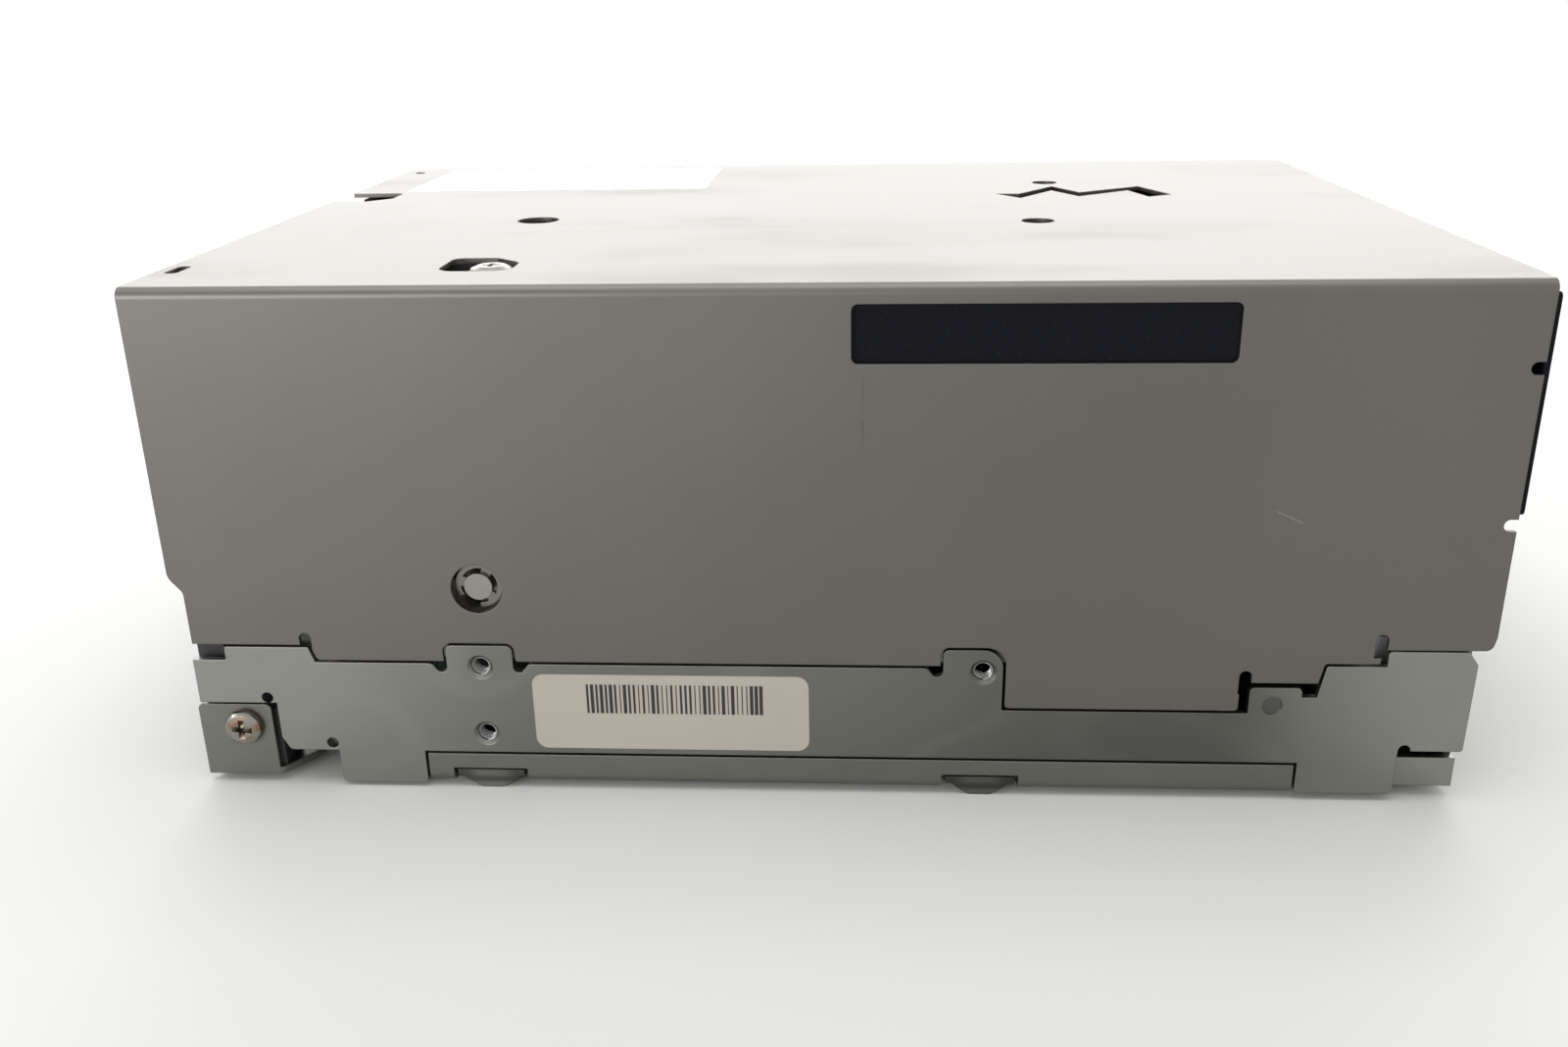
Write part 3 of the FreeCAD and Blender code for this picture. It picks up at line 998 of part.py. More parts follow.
def make_lead_screw():
    return rod(SCREW_X, HEAD_Y, DECK_Z - 8.0, PIN_R, YOKE_Z + 1.0 - DECK_Z + 8.0)


def make_head_motor():
    body = rod(SCREW_X, HEAD_Y, DECK_Z - 10.0, 7.5, 8.6)
    flange = plate_xy([(SCREW_X - 13, HEAD_Y - 4, 2.0), (SCREW_X - 4, HEAD_Y - 8.5, 3.0),
                       (SCREW_X + 4, HEAD_Y - 8.5, 3.0),
                       (SCREW_X + 13, HEAD_Y - 4, 2.0), (SCREW_X + 13, HEAD_Y + 4, 2.0),
                       (SCREW_X + 4, HEAD_Y + 8.5, 3.0),
                       (SCREW_X - 4, HEAD_Y + 8.5, 3.0), (SCREW_X - 13, HEAD_Y + 4, 2.0)], DECK_Z - 1.4, 1.4)
    neck = rod(SCREW_X, HEAD_Y, DECK_Z, 3.2, 1.5)
    return join([body, flange, neck]).cut(rod(SCREW_X, HEAD_Y, DECK_Z - 9, PIN_R + RUNNING, 20))


# ---------------------------------------------------------------- threader
GEAR_M = 0.8
ARM_TEETH = 36
PINION_TEETH = 12
PIVOT_R = 2.5
ARM_GEAR_H = 2.4
MESH_THIN = 0.12
THREAD_MOTOR_Y = ARM_Y + GEAR_M * (ARM_TEETH + PINION_TEETH) / 2 + 0.05
THREAD_MOTOR_R = 9.0
THREAD_MOTOR_H = HEIGHT - COVER_T - 3.5 - BRIDGE_Z - BRIDGE_T


def make_threader_bridge():
    left = -DECK_X - 1.5
    right = DECK_X + 1.0
    plate = plate_xy([(left, 108.0, 3.0), (left + 11.0, 108.0, 3.0), (-44.0, 124.0, 6.0), (44.0, 124.0, 6.0),
                      (right - 12.5, 108.5, 3.0), (right, 108.5, 3.0), (right, 198.6, 3.0),
                      (left, 198.6, 3.0)],
                     BRIDGE_Z, BRIDGE_T)
    cuts = [plate_xy(rect(4.0, 52.0, 134.0, 184.0, 16.0), BRIDGE_Z - 1, 4),
            plate_xy([(-62.0, 130.0, 3.0), (-46.0, 130.0, 6.0), (-38.0, 150.0, 6.0), (-46.0, 186.0, 6.0),
                      (-62.0, 186.0, 4.0)], BRIDGE_Z - 1, 4),
            rod(ARM_X, THREAD_MOTOR_Y, BRIDGE_Z - 1, 5.9, 4),
            rod(ARM_X, ARM_Y, BRIDGE_Z - 1, PIVOT_R, 4)]
    cuts += [rod(x, y, BRIDGE_Z - 1, 1.4, 4) for x, y in BRIDGE_SPOTS]
    return plate.cut(Part.makeCompound(cuts))


def make_bridge_screws():
    seat = BRIDGE_Z + BRIDGE_T
    return [pan_screw(x, y, seat, 2.7, 1.8, 1.15, 7.0, V(0, 0, 1)) for x, y in BRIDGE_SPOTS]


def make_arm_pivot():
    pin = rod(ARM_X, ARM_Y, ARM_Z - 1.3, PIVOT_R, BRIDGE_Z + BRIDGE_T - ARM_Z + 1.3)
    clip = rod(ARM_X, ARM_Y, ARM_Z - 1.3, 3.4, 1.0)
    shoulder = rod(ARM_X, ARM_Y, ARM_Z + ARM_T + ARM_GEAR_H + CLEAR, 4.5,
                   BRIDGE_Z - ARM_Z - ARM_T - ARM_GEAR_H - CLEAR)
    return join([pin, clip, shoulder])


def at_home(shape):
    """Turn a shape drawn along +X from the arm's pivot to the arm's rest direction."""
    shape.translate(V(ARM_X, ARM_Y, 0))
    shape.rotate(V(ARM_X, ARM_Y, 0), V(0, 0, 1), ARM_HOME_DEG)
    return shape


def make_threader_arm():
    reach = ARM_R + 3.5
    arm = plate_xy([(0, -8.0, 5.0), (reach - 8.0, -4.0, 6.0), (reach, -4.0, 2.0), (reach, 4.0, 2.0),
                    (reach - 8.0, 4.0, 6.0), (0, 8.0, 5.0), (-8.5, 8.0, 6.0), (-8.5, -8.0, 6.0)], ARM_Z,
                   ARM_T)
    wheel = gear(ARM_TEETH, GEAR_M, ARM_GEAR_H, 0, MESH_THIN)
    wheel.translate(V(0, 0, ARM_Z + ARM_T))
    slot = plate_xy([(19.0, -2.4, 2.0), (34.0, -1.6, 1.2), (34.0, 1.6, 1.2), (19.0, 2.4, 2.0)], ARM_Z - 1, 4)
    body = join([arm, wheel]).cut(Part.makeCompound([slot, rod(0, 0, ARM_Z - 1, PIVOT_R + RUNNING, 10)]))
    return at_home(body)


def make_leader_block():
    """Hanging block with the hook that takes the cartridge's leader pin."""
    z1 = REEL_Z1 + REEL_FLANGE_T + 0.5
    half_w = BLOCK_W / 2
    half_l = BLOCK_L / 2
    body = plate_xy([(ARM_R - half_w, -half_l, 2.0), (ARM_R + half_w, -half_l, 2.0),
                     (ARM_R + half_w, half_l, 1.0),
                     (ARM_R - half_w, half_l, 1.0)], z1, ARM_Z - z1)
    jaw = rod(ARM_R, half_l, z1 + 1.6, 1.9, TAPE_W - 4.0)
    mouth = block(ARM_R - 1.5, ARM_R + 1.5, half_l - 0.5, half_l + 2, z1 + 1.6, z1 + TAPE_W - 2.4)
    relief = block(ARM_R - half_w - 1, ARM_R - half_w + 1.6, -half_l + 1.6, half_l - 1.6, z1 + 3.0,
                   z1 + TAPE_W - 4.0)
    return at_home(body.cut(Part.makeCompound([jaw, mouth, relief])))


def make_threader_pinion():
    z = ARM_Z + ARM_T + CLEAR
    wheel = gear(PINION_TEETH, GEAR_M, ARM_GEAR_H, 0, MESH_THIN)
    wheel.rotate(V(0, 0, 0), V(0, 0, 1), 180.0 / PINION_TEETH + pinion_phase())
    wheel.translate(V(ARM_X, THREAD_MOTOR_Y, z))
    shaft = rod(ARM_X, THREAD_MOTOR_Y, z, 1.0, BRIDGE_Z + BRIDGE_T + THREAD_MOTOR_H * 0.45 - z)
    return wheel.fuse(shaft).removeSplitter()


def pinion_phase():
    """Turn that puts a gap of the pinion against the arm gear's tooth at rest."""
    step = 360.0 / ARM_TEETH
    offset = (90.0 - ARM_HOME_DEG) % step
    return offset * ARM_TEETH / PINION_TEETH - 90.0


def make_threader_motor():
    seat = BRIDGE_Z + BRIDGE_T
    can = rod(ARM_X, THREAD_MOTOR_Y, seat, THREAD_MOTOR_R, THREAD_MOTOR_H)
    bore = rod(ARM_X, THREAD_MOTOR_Y, BRIDGE_Z - 1, 1.0 + RUNNING, BRIDGE_T + 1 + THREAD_MOTOR_H * 0.6)
    flange = plate_xy([(ARM_X - 14, THREAD_MOTOR_Y - 3.5, 3.0), (ARM_X - 5, THREAD_MOTOR_Y - 9.0, 4.0),
                       (ARM_X + 5, THREAD_MOTOR_Y - 9.0, 4.0), (ARM_X + 14, THREAD_MOTOR_Y - 3.5, 3.0),
                       (ARM_X + 14, THREAD_MOTOR_Y + 3.5, 3.0), (ARM_X + 5, THREAD_MOTOR_Y + 9.0, 4.0),
                       (ARM_X - 5, THREAD_MOTOR_Y + 9.0, 4.0), (ARM_X - 14, THREAD_MOTOR_Y + 3.5, 3.0)],
                      seat, 1.0)
    neck = rod(ARM_X, THREAD_MOTOR_Y, BRIDGE_Z, 3.0, BRIDGE_T)
    return join([can, flange, neck]).cut(bore)


# ---------------------------------------------------------------- loader
TRAY_Y1 = 12.0
TRAY_Y2 = 106.0
TRAY_HALF = CART_W / 2 + PLAY + SHEET          # outer face of the tray's walls
SLIDER_HALF = TRAY_HALF + GAP + SHEET
PLATE_IN = SLIDER_HALF + GAP
PLATE_T = 1.2
PLATE_OUT = PLATE_IN + PLATE_T
PIN_YS = (34.0, 76.0)
PIN_Z = TRAY_Z + 14.0
SLIDER_Y1 = 12.0
SLIDER_Y2 = 84.0
SLIDER_LOW = 47.0
RACK_M = 0.8
RACK_TEETH = 15
RACK_R = RACK_M * RACK_TEETH / 2
WORM_M = 0.7
WHEEL_TEETH = 26
WHEEL_R = WORM_M * WHEEL_TEETH / 2
WORM_R = 2.8
SIDE_ROOM = INNER_X - BAY_X - PLATE_OUT          # between the right side plate and the cover
WHEEL_X = BAY_X + PLATE_OUT + SIDE_ROOM * 0.37
WHEEL_T = SIDE_ROOM * 0.2
LOADER_MOTOR_HALF = SIDE_ROOM * 0.33
STUB_R = 2.2
STUB_END = INNER_X - 0.225
WORM_Z = PIVOT_Z + WHEEL_R + WORM_R + 0.05


def bay(shape):
    shape.translate(V(BAY_X, 0, 0))
    return shape


def make_tray():
    """Cartridge tray: folded sheet with side walls, top lips and an open floor."""
    t = SHEET
    top = TRAY_Z + CART_H + PLAY
    body = channel(TRAY_HALF, TRAY_Z - t, top + t, t, 1.6, TRAY_Y1, TRAY_Y2, True)
    body.translate(V(BAY_X, 0, 0))
    lips = [block(BAY_X + s * TRAY_HALF - (6 if s > 0 else 0), BAY_X + s * TRAY_HALF + (0 if s > 0 else 6),
                  40.0, TRAY_Y2, top, top + t) for s in (1, -1)]
    stop = block(BAY_X - 14, BAY_X + 14, TRAY_Y2 - t, TRAY_Y2, TRAY_Z - t / 2, TRAY_Z + 7)
    cuts = [rod(BAY_X, SUPPLY_Y, TRAY_Z - 3, ROTOR_R + 3.0, 5),
            block(BAY_X - TRAY_HALF - 1, -27.0, 90.0, TRAY_Y2 + 1, TRAY_Z - 3, top + 3),
            plate_xy([(BAY_X - 50.8, TRAY_Y1 - 1), (BAY_X + 50.8, TRAY_Y1 - 1),
                      (BAY_X + 50.8, TRAY_Y1 + 8.0, 1.5),
                      (BAY_X + 40, TRAY_Y1 + 8.0, 3.0), (BAY_X + 34, TRAY_Y1 + 14.0, 4.0),
                      (BAY_X - 34, TRAY_Y1 + 14.0, 4.0), (BAY_X - 40, TRAY_Y1 + 8.0, 3.0),
                      (BAY_X - 50.8, TRAY_Y1 + 8.0, 1.5)], TRAY_Z - 3, 3.6),
            plate_xy(rect(BAY_X + 30, BAY_X + 44, 30.0, 84.0, 3.0), TRAY_Z - 3, 5),
            plate_xy(rect(BAY_X - 44, BAY_X - 30, 30.0, 84.0, 3.0), TRAY_Z - 3, 5)]
    windows = plate_yz([(44.0, TRAY_Z + 4.0, 2.0), (68.0, TRAY_Z + 4.0, 2.0), (68.0, TRAY_Z + 17.0, 2.0),
                        (44.0, TRAY_Z + 17.0, 2.0)], -80, 160)
    return join([body] + lips + [stop]).cut(Part.makeCompound(cuts + [windows]))


def make_tray_pins():
    pins = []
    for s in (1, -1):
        for y in PIN_YS:
            pins.append(rod(BAY_X + s * TRAY_HALF, y, PIN_Z, PIN_R, PLATE_OUT - TRAY_HALF + 0.3, V(s, 0, 0)))
    return Part.makeCompound(pins)


def slot_yz(y1, z1, y2, z2, r, x, t):
    """Round-ended slot square to X between two centres."""
    length = hypot(y2 - y1, z2 - z1)
    bar = plate_yz(rect(0, length, -r, r), x, t)
    bar.rotate(V(x, 0, 0), V(1, 0, 0), degrees(atan2(z2 - z1, y2 - y1)))
    bar.translate(V(0, y1, z1))
    ends = [rod(x, y1, z1, r, t, V(1, 0, 0)), rod(x, y2, z2, r, t, V(1, 0, 0))]
    return bar.multiFuse(ends)


def rack_points():
    """Rack along the foot of the slider's right leg; a gap faces the pinion's top tooth."""
    pitch = pi * RACK_M
    line = PIVOT_Z + RACK_R
    root = line + 1.2 * RACK_M
    tip = line - RACK_M
    count = int((SLIDE_TRAVEL + 10.0) / pitch)
    points = []
    for k in range(-count, 4):
        y = PIVOT_Y + (k + 0.5) * pitch
        points += [(y - 0.36 * pitch + MESH_THIN / 2, root), (y - 0.13 * pitch + MESH_THIN / 2, tip),
                   (y + 0.13 * pitch - MESH_THIN / 2, tip), (y + 0.36 * pitch - MESH_THIN / 2, root)]
    return points


def make_slider():
    """Bridge-shaped slider: its sloped slots carry the tray down as it moves rearwards."""
    t = SHEET
    body = channel(SLIDER_HALF, SLIDER_LOW, SLIDER_TOP, t, 1.6, SLIDER_Y1, SLIDER_Y2, False)
    body.translate(V(BAY_X, 0, 0))
    teeth = rack_points()
    front = teeth[0][0] - 1.0
    rear = teeth[-1][0] + 1.0
    edge = [(front, SLIDER_LOW + 1), (front, teeth[0][1])] + teeth
    edge += [(rear, teeth[0][1]), (rear, SLIDER_LOW + 1)]
    rack = plate_yz(edge, BAY_X + SLIDER_HALF - t, t)
    cuts = []
    for y in PIN_YS:
        cuts.append(slot_yz(y, PIN_Z, y - SLIDE_TRAVEL, PIN_Z - LIFT, PIN_R + 0.1, -80, 160))
    top = SLIDER_TOP - 4
    cuts.append(plate_xy(rect(BAY_X - 40, BAY_X + 40, 24.0, 46.0, 4.0), top, 6))
    cuts.append(plate_xy(rect(BAY_X - 40, BAY_X + 40, 54.0, 74.0, 4.0), top, 6))
    return join([body, rack]).cut(Part.makeCompound(cuts))


def loader_side(right):
    """Fixed side plate with upright guide slots, a foot on the deck and a top flange."""
    floor = DECK_Z + DECK_T
    x1 = PLATE_IN
    wall = plate_yz([(15.0, floor, 0), (94.0, floor, 0), (94.0, 60.0, 3.0), (88.0, LOADER_TOP_Z + 1.0, 4.0),
                     (22.0, LOADER_TOP_Z + 1.0, 4.0), (15.0, 62.0, 3.0)], x1, PLATE_T)
    top = plate_xy([(x1 - 10, 26.0, 2.0), (x1 + PLATE_T, 26.0), (x1 + PLATE_T, 84.0), (x1 - 10, 84.0, 2.0)],
                   LOADER_TOP_Z, 1.0)
    feet = [plate_xy([(x1, y1), (x1 + 8.0, y1, 2.0), (x1 + 8.0, y2, 2.0), (x1, y2)], floor, PLATE_T)
            for y1, y2 in ((15.0, 23.0), (62.0, 94.0))]
    body = join([wall, top] + feet)
    cuts = [slot_yz(y, PIN_Z - LIFT - 0.4, y, PIN_Z + 0.4, PIN_R + 0.1, x1 - 1, 4) for y in PIN_YS]
    cuts.append(plate_yz(rect(64.0, 88.0, floor + 5, 45.0, 3.0), x1 - 1, 4))
    for y in LOADER_SCREW_YS:
        cuts.append(rod(x1 - 4.5, y, LOADER_TOP_Z - 1, 1.3, 4))
    if right:
        cuts.append(rod(x1 - 1, PIVOT_Y, PIVOT_Z, STUB_R + 1.3, 4, V(1, 0, 0)))
    else:
        cuts.append(plate_yz(rect(40.0, 56.0, floor + 5, 45.0, 3.0), x1 - 1, 4))
    body = body.cut(Part.makeCompound(cuts))
    body = body if right else mirror_x(body)
    return bay(body)


LOADER_SCREW_YS = (50.0, 76.0)


def make_loader_top():
    half = PLATE_OUT
    z = LOADER_TOP_Z + 1.0
    sheet = plate_xy([(-half, 26.0, 3.0), (half, 26.0, 3.0), (half, 84.0, 3.0), (-half, 84.0, 3.0)], z, 1.0)
    cuts = [plate_xy(rect(-38, 38, 34.0, 52.0, 6.0), z - 1, 3),
            plate_xy(rect(-38, 38, 60.0, 77.0, 6.0), z - 1, 3)]
    cuts += [rod(s * (PLATE_IN - 4.5), y, z - 1, 1.5, 3) for s in (1, -1) for y in LOADER_SCREW_YS]
    return bay(sheet.cut(Part.makeCompound(cuts)))


def make_loader_screws():
    z = LOADER_TOP_Z + 2.0
    screws = [pan_screw(s * (PLATE_IN - 4.5), y, z, 2.7, 1.8, 1.25, 3.0, V(0, 0, 1))
              for s in (1, -1) for y in LOADER_SCREW_YS]
    return [bay(screw) for screw in screws]


def upright(shape, y, z):
    """Carry a wheel drawn about Z to an axle along X, its first tooth pointing up."""
    shape.rotate(V(0, 0, 0), V(0, 1, 0), 90)
    shape.rotate(V(0, 0, 0), V(1, 0, 0), 180)
    shape.translate(V(0, y, z))
    return shape


def make_loader_gear():
    """Stub shaft with the rack pinion inside the side plate and the worm wheel outside it."""
    pinion = upright(gear(RACK_TEETH, RACK_M, 1.4, 0, MESH_THIN), PIVOT_Y, PIVOT_Z)
    pinion.translate(V(BAY_X + SLIDER_HALF - SHEET / 2 - 0.7, 0, 0))
    wheel = upright(gear(WHEEL_TEETH, WORM_M, WHEEL_T, 0, 0.25), PIVOT_Y, PIVOT_Z)
    wheel.translate(V(WHEEL_X - WHEEL_T / 2, 0, 0))
    start = BAY_X + SLIDER_HALF - SHEET / 2 - 0.7
    shaft = rod(start, PIVOT_Y, PIVOT_Z, STUB_R, STUB_END - start, V(1, 0, 0))
    boss = rod(BAY_X + PLATE_OUT + CLEAR, PIVOT_Y, PIVOT_Z, 4.0, WHEEL_X - BAY_X - PLATE_OUT - CLEAR,
               V(1, 0, 0))
    lighten = [rod(WHEEL_X - WHEEL_T, PIVOT_Y + 5.9 * cos(radians(a)), PIVOT_Z + 5.9 * sin(radians(a)),
                   1.3, 2 * WHEEL_T, V(1, 0, 0))
               for a in range(0, 360, 60)]
    return join([pinion, wheel, shaft, boss]).cut(Part.makeCompound(lighten))


def make_stub_bush():
    x = BAY_X + PLATE_IN
    return tube(x, PIVOT_Y, PIVOT_Z, STUB_R + 1.3, STUB_R + RUNNING, PLATE_T, V(1, 0, 0))


def make_stub_clip():
    """E-shaped retaining ring near the shaft's end: three prongs and an open jaw."""
    x = STUB_END - 1.2
    ring = tube(x, PIVOT_Y, PIVOT_Z, 3.7, 2.9, 0.6, V(1, 0, 0))
    jaw = plate_yz([(PIVOT_Y, PIVOT_Z), (PIVOT_Y + 6, PIVOT_Z - 3.4), (PIVOT_Y + 6, PIVOT_Z + 3.4)], x - 1, 3)
    jaw.rotate(V(0, PIVOT_Y, PIVOT_Z), V(1, 0, 0), 240.0)
    prongs = []
    for a in (60.0, 165.0, 315.0):
        prong = block(x, x + 0.6, PIVOT_Y + STUB_R - 0.4, PIVOT_Y + 3.2, PIVOT_Z - 0.8, PIVOT_Z + 0.8)
        prong.rotate(V(0, PIVOT_Y, PIVOT_Z), V(1, 0, 0), a)
        prongs.append(prong)
    core = rod(x - 1, PIVOT_Y, PIVOT_Z, STUB_R, 3, V(1, 0, 0))
    return join([ring.cut(jaw)] + prongs).cut(core)


def make_worm():
    """Single-start right-hand worm, drawn about Z and laid along Y."""
    pitch = pi * WORM_M
    turns = 4
    height = pitch * turns
    helix = Part.makeHelix(pitch, height, WORM_R - WORM_M)
    foot = WORM_R - 1.15 * WORM_M
    tip = WORM_R + WORM_M
    half_foot = 0.26 * pitch
    half_tip = 0.10 * pitch
    profile = Part.makePolygon([V(foot, 0, -half_foot), V(tip, 0, -half_tip), V(tip, 0, half_tip),
                                V(foot, 0, half_foot), V(foot, 0, -half_foot)])
    thread = Part.Wire(helix).makePipeShell([profile], True, True)
    core = rod(0, 0, -1.5, WORM_R - 1.1 * WORM_M, height + 3.0)
    shaft = rod(0, 0, -2.5, 1.0, height + 12.0)
    worm = core.fuse(thread).fuse(shaft)
    worm.translate(V(0, 0, -height / 2))
    worm.rotate(V(0, 0, 0), V(1, 0, 0), -90)
    worm.rotate(V(0, 0, 0), V(0, 1, 0), WORM_PHASE)
    worm.translate(V(WHEEL_X, PIVOT_Y, WORM_Z))
    return worm


WORM_PHASE = 270.0
LOADER_MOTOR_Y = 56.0
LOADER_MOTOR_L = 16.0


def make_loader_motor():
    half = LOADER_MOTOR_HALF
    can = plate_xz(rect(WHEEL_X - half, WHEEL_X + half, WORM_Z - 5.0, WORM_Z + 5.0, half * 0.37),
                   LOADER_MOTOR_Y, LOADER_MOTOR_L)
    nose = rod(WHEEL_X, LOADER_MOTOR_Y - 1.0, WORM_Z, 2.2, 1.2, V(0, 1, 0))
    plate = BAY_X + PLATE_OUT
    tab = block(plate, plate + 0.8, LOADER_MOTOR_Y, LOADER_MOTOR_Y + LOADER_MOTOR_L, WORM_Z - 7.5,
                WORM_Z + 7.5)
    saddle = block(plate, WHEEL_X - half + 0.2, LOADER_MOTOR_Y + 2, LOADER_MOTOR_Y + 14, WORM_Z - 4,
                   WORM_Z + 4)
    body = join([can, nose, tab, saddle])
    return body.cut(rod(WHEEL_X, LOADER_MOTOR_Y - 2, WORM_Z, 1.0 + RUNNING, 12.0, V(0, 1, 0)))


# ---------------------------------------------------------------- write the pieces
PIECES = {
    "top_cover": make_top_cover,
    "base_chassis": make_base_chassis,
    "bottom_cover": make_bottom_cover,
    "underside_screws": lambda: Part.makeCompound(make_pan_screws() + make_ledge_screws()),
    "front_bracket_right": make_front_bracket,
    "front_bracket_left": lambda: mirror_x(make_front_bracket()),
    "bracket_screws": make_bracket_screws,
    "front_panel": make_front_panel,
    "cartridge_door": make_cartridge_door,
    "door_pin": make_door_pin,
    "door_spring": make_door_spring,
    "eject_button": make_eject_button,
    "panel_board": make_panel_board,
    "rear_panel": make_rear_panel,
    "rear_insulator": make_rear_insulator,
    "window_insulator": make_window_insulator,
    "main_board": make_main_board,
    "board_chips": make_board_chips,
    "standoffs": lambda: Part.makeCompound(make_board_pillars() + make_deck_posts()),
    "pan_screws": lambda: Part.makeCompound(make_board_screws() + make_bridge_screws() + make_loader_screws()),
    "power_connector": make_power_connector,
    "data_connector": make_data_connector,
    "service_connector": make_service_connector,
    "deck": make_deck,
    "deck_bushes": make_deck_bushes,
    "deck_screws": make_deck_screws,
    "supply_motor": make_supply_motor,
    "supply_hub": make_supply_hub,
    "takeup_motor": make_takeup_motor,
    "takeup_hub": make_takeup_hub,
    "takeup_flange": make_takeup_flange,
    "guide_roller_1": lambda: make_roller(R1),
    "guide_roller_2": lambda: make_roller(R2),
    "guide_roller_3": lambda: make_roller(R3),
    "guide_roller_4": lambda: make_roller(R4),
    "roller_pins": make_roller_pins,
    "head_base": make_head_base,
    "guide_shafts": make_guide_shafts,
    "head_carriage": make_head_carriage,
    "head_block": make_head_block,
    "fine_actuator": make_fine_actuator,
    "lead_screw": make_lead_screw,
    "head_motor": make_head_motor,
    "threader_bridge": make_threader_bridge,
    "threader_arm": make_threader_arm,
    "leader_block": make_leader_block,
    "arm_pivot": make_arm_pivot,
    "threader_pinion": make_threader_pinion,
    "threader_motor": make_threader_motor,
    "cartridge_tray": make_tray,
    "tray_pins": make_tray_pins,
    "tray_slider": make_slider,
    "loader_side_right": lambda: loader_side(True),
    "loader_side_left": lambda: loader_side(False),
    "loader_top": make_loader_top,
    "loader_gear": make_loader_gear,
    "stub_bush": make_stub_bush,
    "stub_clip": make_stub_clip,
    "loader_worm": make_worm,
    "loader_motor": make_loader_motor,
}


def main():
    os.makedirs("parts", exist_ok=True)
    for name, make in PIECES.items():
        shape = make().copy()
        shape.translate(V(0, FRONT_REF, 0))
        shape.exportStep("parts/" + name + ".step")
        box = shape.BoundBox
        print("%-22s solids %2d valid %s volume %9.1f  x %7.2f %7.2f  y %7.2f %7.2f  z %6.2f %6.2f" % (
            name, len(shape.Solids), shape.isValid(), shape.Volume,
            box.XMin, box.XMax, box.YMin, box.YMax, box.ZMin, box.ZMax))


main()
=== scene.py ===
"""Finish of a half-inch single-reel tape drive, laid out as a Blender add-on."""

import math
from typing import NamedTuple

import bmesh
import bpy
from mathutils import Matrix, Vector


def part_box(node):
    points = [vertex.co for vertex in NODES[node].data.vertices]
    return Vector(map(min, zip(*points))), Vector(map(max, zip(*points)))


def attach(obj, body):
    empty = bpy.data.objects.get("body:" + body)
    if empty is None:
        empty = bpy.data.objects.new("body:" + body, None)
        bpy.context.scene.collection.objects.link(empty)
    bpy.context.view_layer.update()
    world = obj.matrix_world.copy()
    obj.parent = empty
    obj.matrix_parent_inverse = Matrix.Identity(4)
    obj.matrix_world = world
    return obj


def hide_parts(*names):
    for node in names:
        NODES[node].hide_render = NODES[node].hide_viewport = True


bl_info = {
    "name": "Single-reel tape drive",
    "version": (1, 0, 0),
    "blender": (4, 5, 0),
    "location": "3D View > Sidebar > Tape drive",
    "description": "Dresses the bare tape drive: sheet metal, labels, threads, board parts and stage",
    "category": "Object",
}

MM = 0.001
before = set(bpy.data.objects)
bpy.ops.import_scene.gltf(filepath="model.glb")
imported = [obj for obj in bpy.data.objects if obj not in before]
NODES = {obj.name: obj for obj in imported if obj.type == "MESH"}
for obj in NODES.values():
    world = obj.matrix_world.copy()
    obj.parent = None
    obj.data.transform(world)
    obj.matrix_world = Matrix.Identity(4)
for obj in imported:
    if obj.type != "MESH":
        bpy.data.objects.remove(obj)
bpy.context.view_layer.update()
TOP_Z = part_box("top_cover")[1].z
SIDE_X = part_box("top_cover")[1].x
FRONT_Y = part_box("top_cover")[0].y
BACK_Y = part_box("top_cover")[1].y
FRONT_EDGE = 1.0 * MM           # the cover stands this far ahead of the mounting reference
REFERENCE_Y = FRONT_Y + FRONT_EDGE
HALF = SIDE_X / MM              # half the cover's width in millimetres
HOLE_YS = (47.4, 126.64)        # side holes in millimetres behind the mounting reference
HOLE_ZS = (10.0, 21.84)         # and up from the feet
SCREW_PITCH = 0.5               # thread of every screw, in millimetres
POWER_PITCH = 5.08              # from pin to pin of the power connector
SERVICE_PITCH = 2.0             # and of the service connector
PAN_HEAD = ((0.96, 0), (1.0, 0.12), (1.0, 0.42), (0.93, 0.72), (0.78, 0.90), (0.52, 1.0), (0, 1.0))


# ---------------------------------------------------------------- node sums

class Field:
    """The value of a node's socket, so that node maths reads as Python sums."""

    def __init__(self, maker, socket):
        self.maker = maker
        self.socket = socket

    def math(self, operation, *others):
        return self.maker.node("ShaderNodeMath", dict(enumerate((self, *others))), operation=operation)[0]

    def __add__(self, other):
        return self.math("ADD", other)

    def __sub__(self, other):
        return self.math("SUBTRACT", other)

    def __mul__(self, other):
        return self.math("MULTIPLY", other)

    def __truediv__(self, other):
        return self.math("DIVIDE", other)

    def __rsub__(self, other):
        return self.maker.node("ShaderNodeMath", {0: other, 1: self}, operation="SUBTRACT")[0]

    __radd__ = __add__
    __rmul__ = __mul__

    def step(self, low, high):
        """0 below low, 1 above high, smooth between; falls instead where low is above high."""
        values = {0: self, 1: low, 2: high}
        return self.maker.node("ShaderNodeMapRange", values, interpolation_type="SMOOTHSTEP")[0]

    def ramp(self, low, high):
        """0 below low, 1 above high, straight between."""
        return self.maker.node("ShaderNodeMapRange", {0: self, 1: low, 2: high})[0]


class Outputs:
    """A node's outputs, by name or number."""

    def __init__(self, maker, node):
        self.maker = maker
        self.node = node

    def __getitem__(self, key):
        return Field(self.maker, self.node.outputs[key])


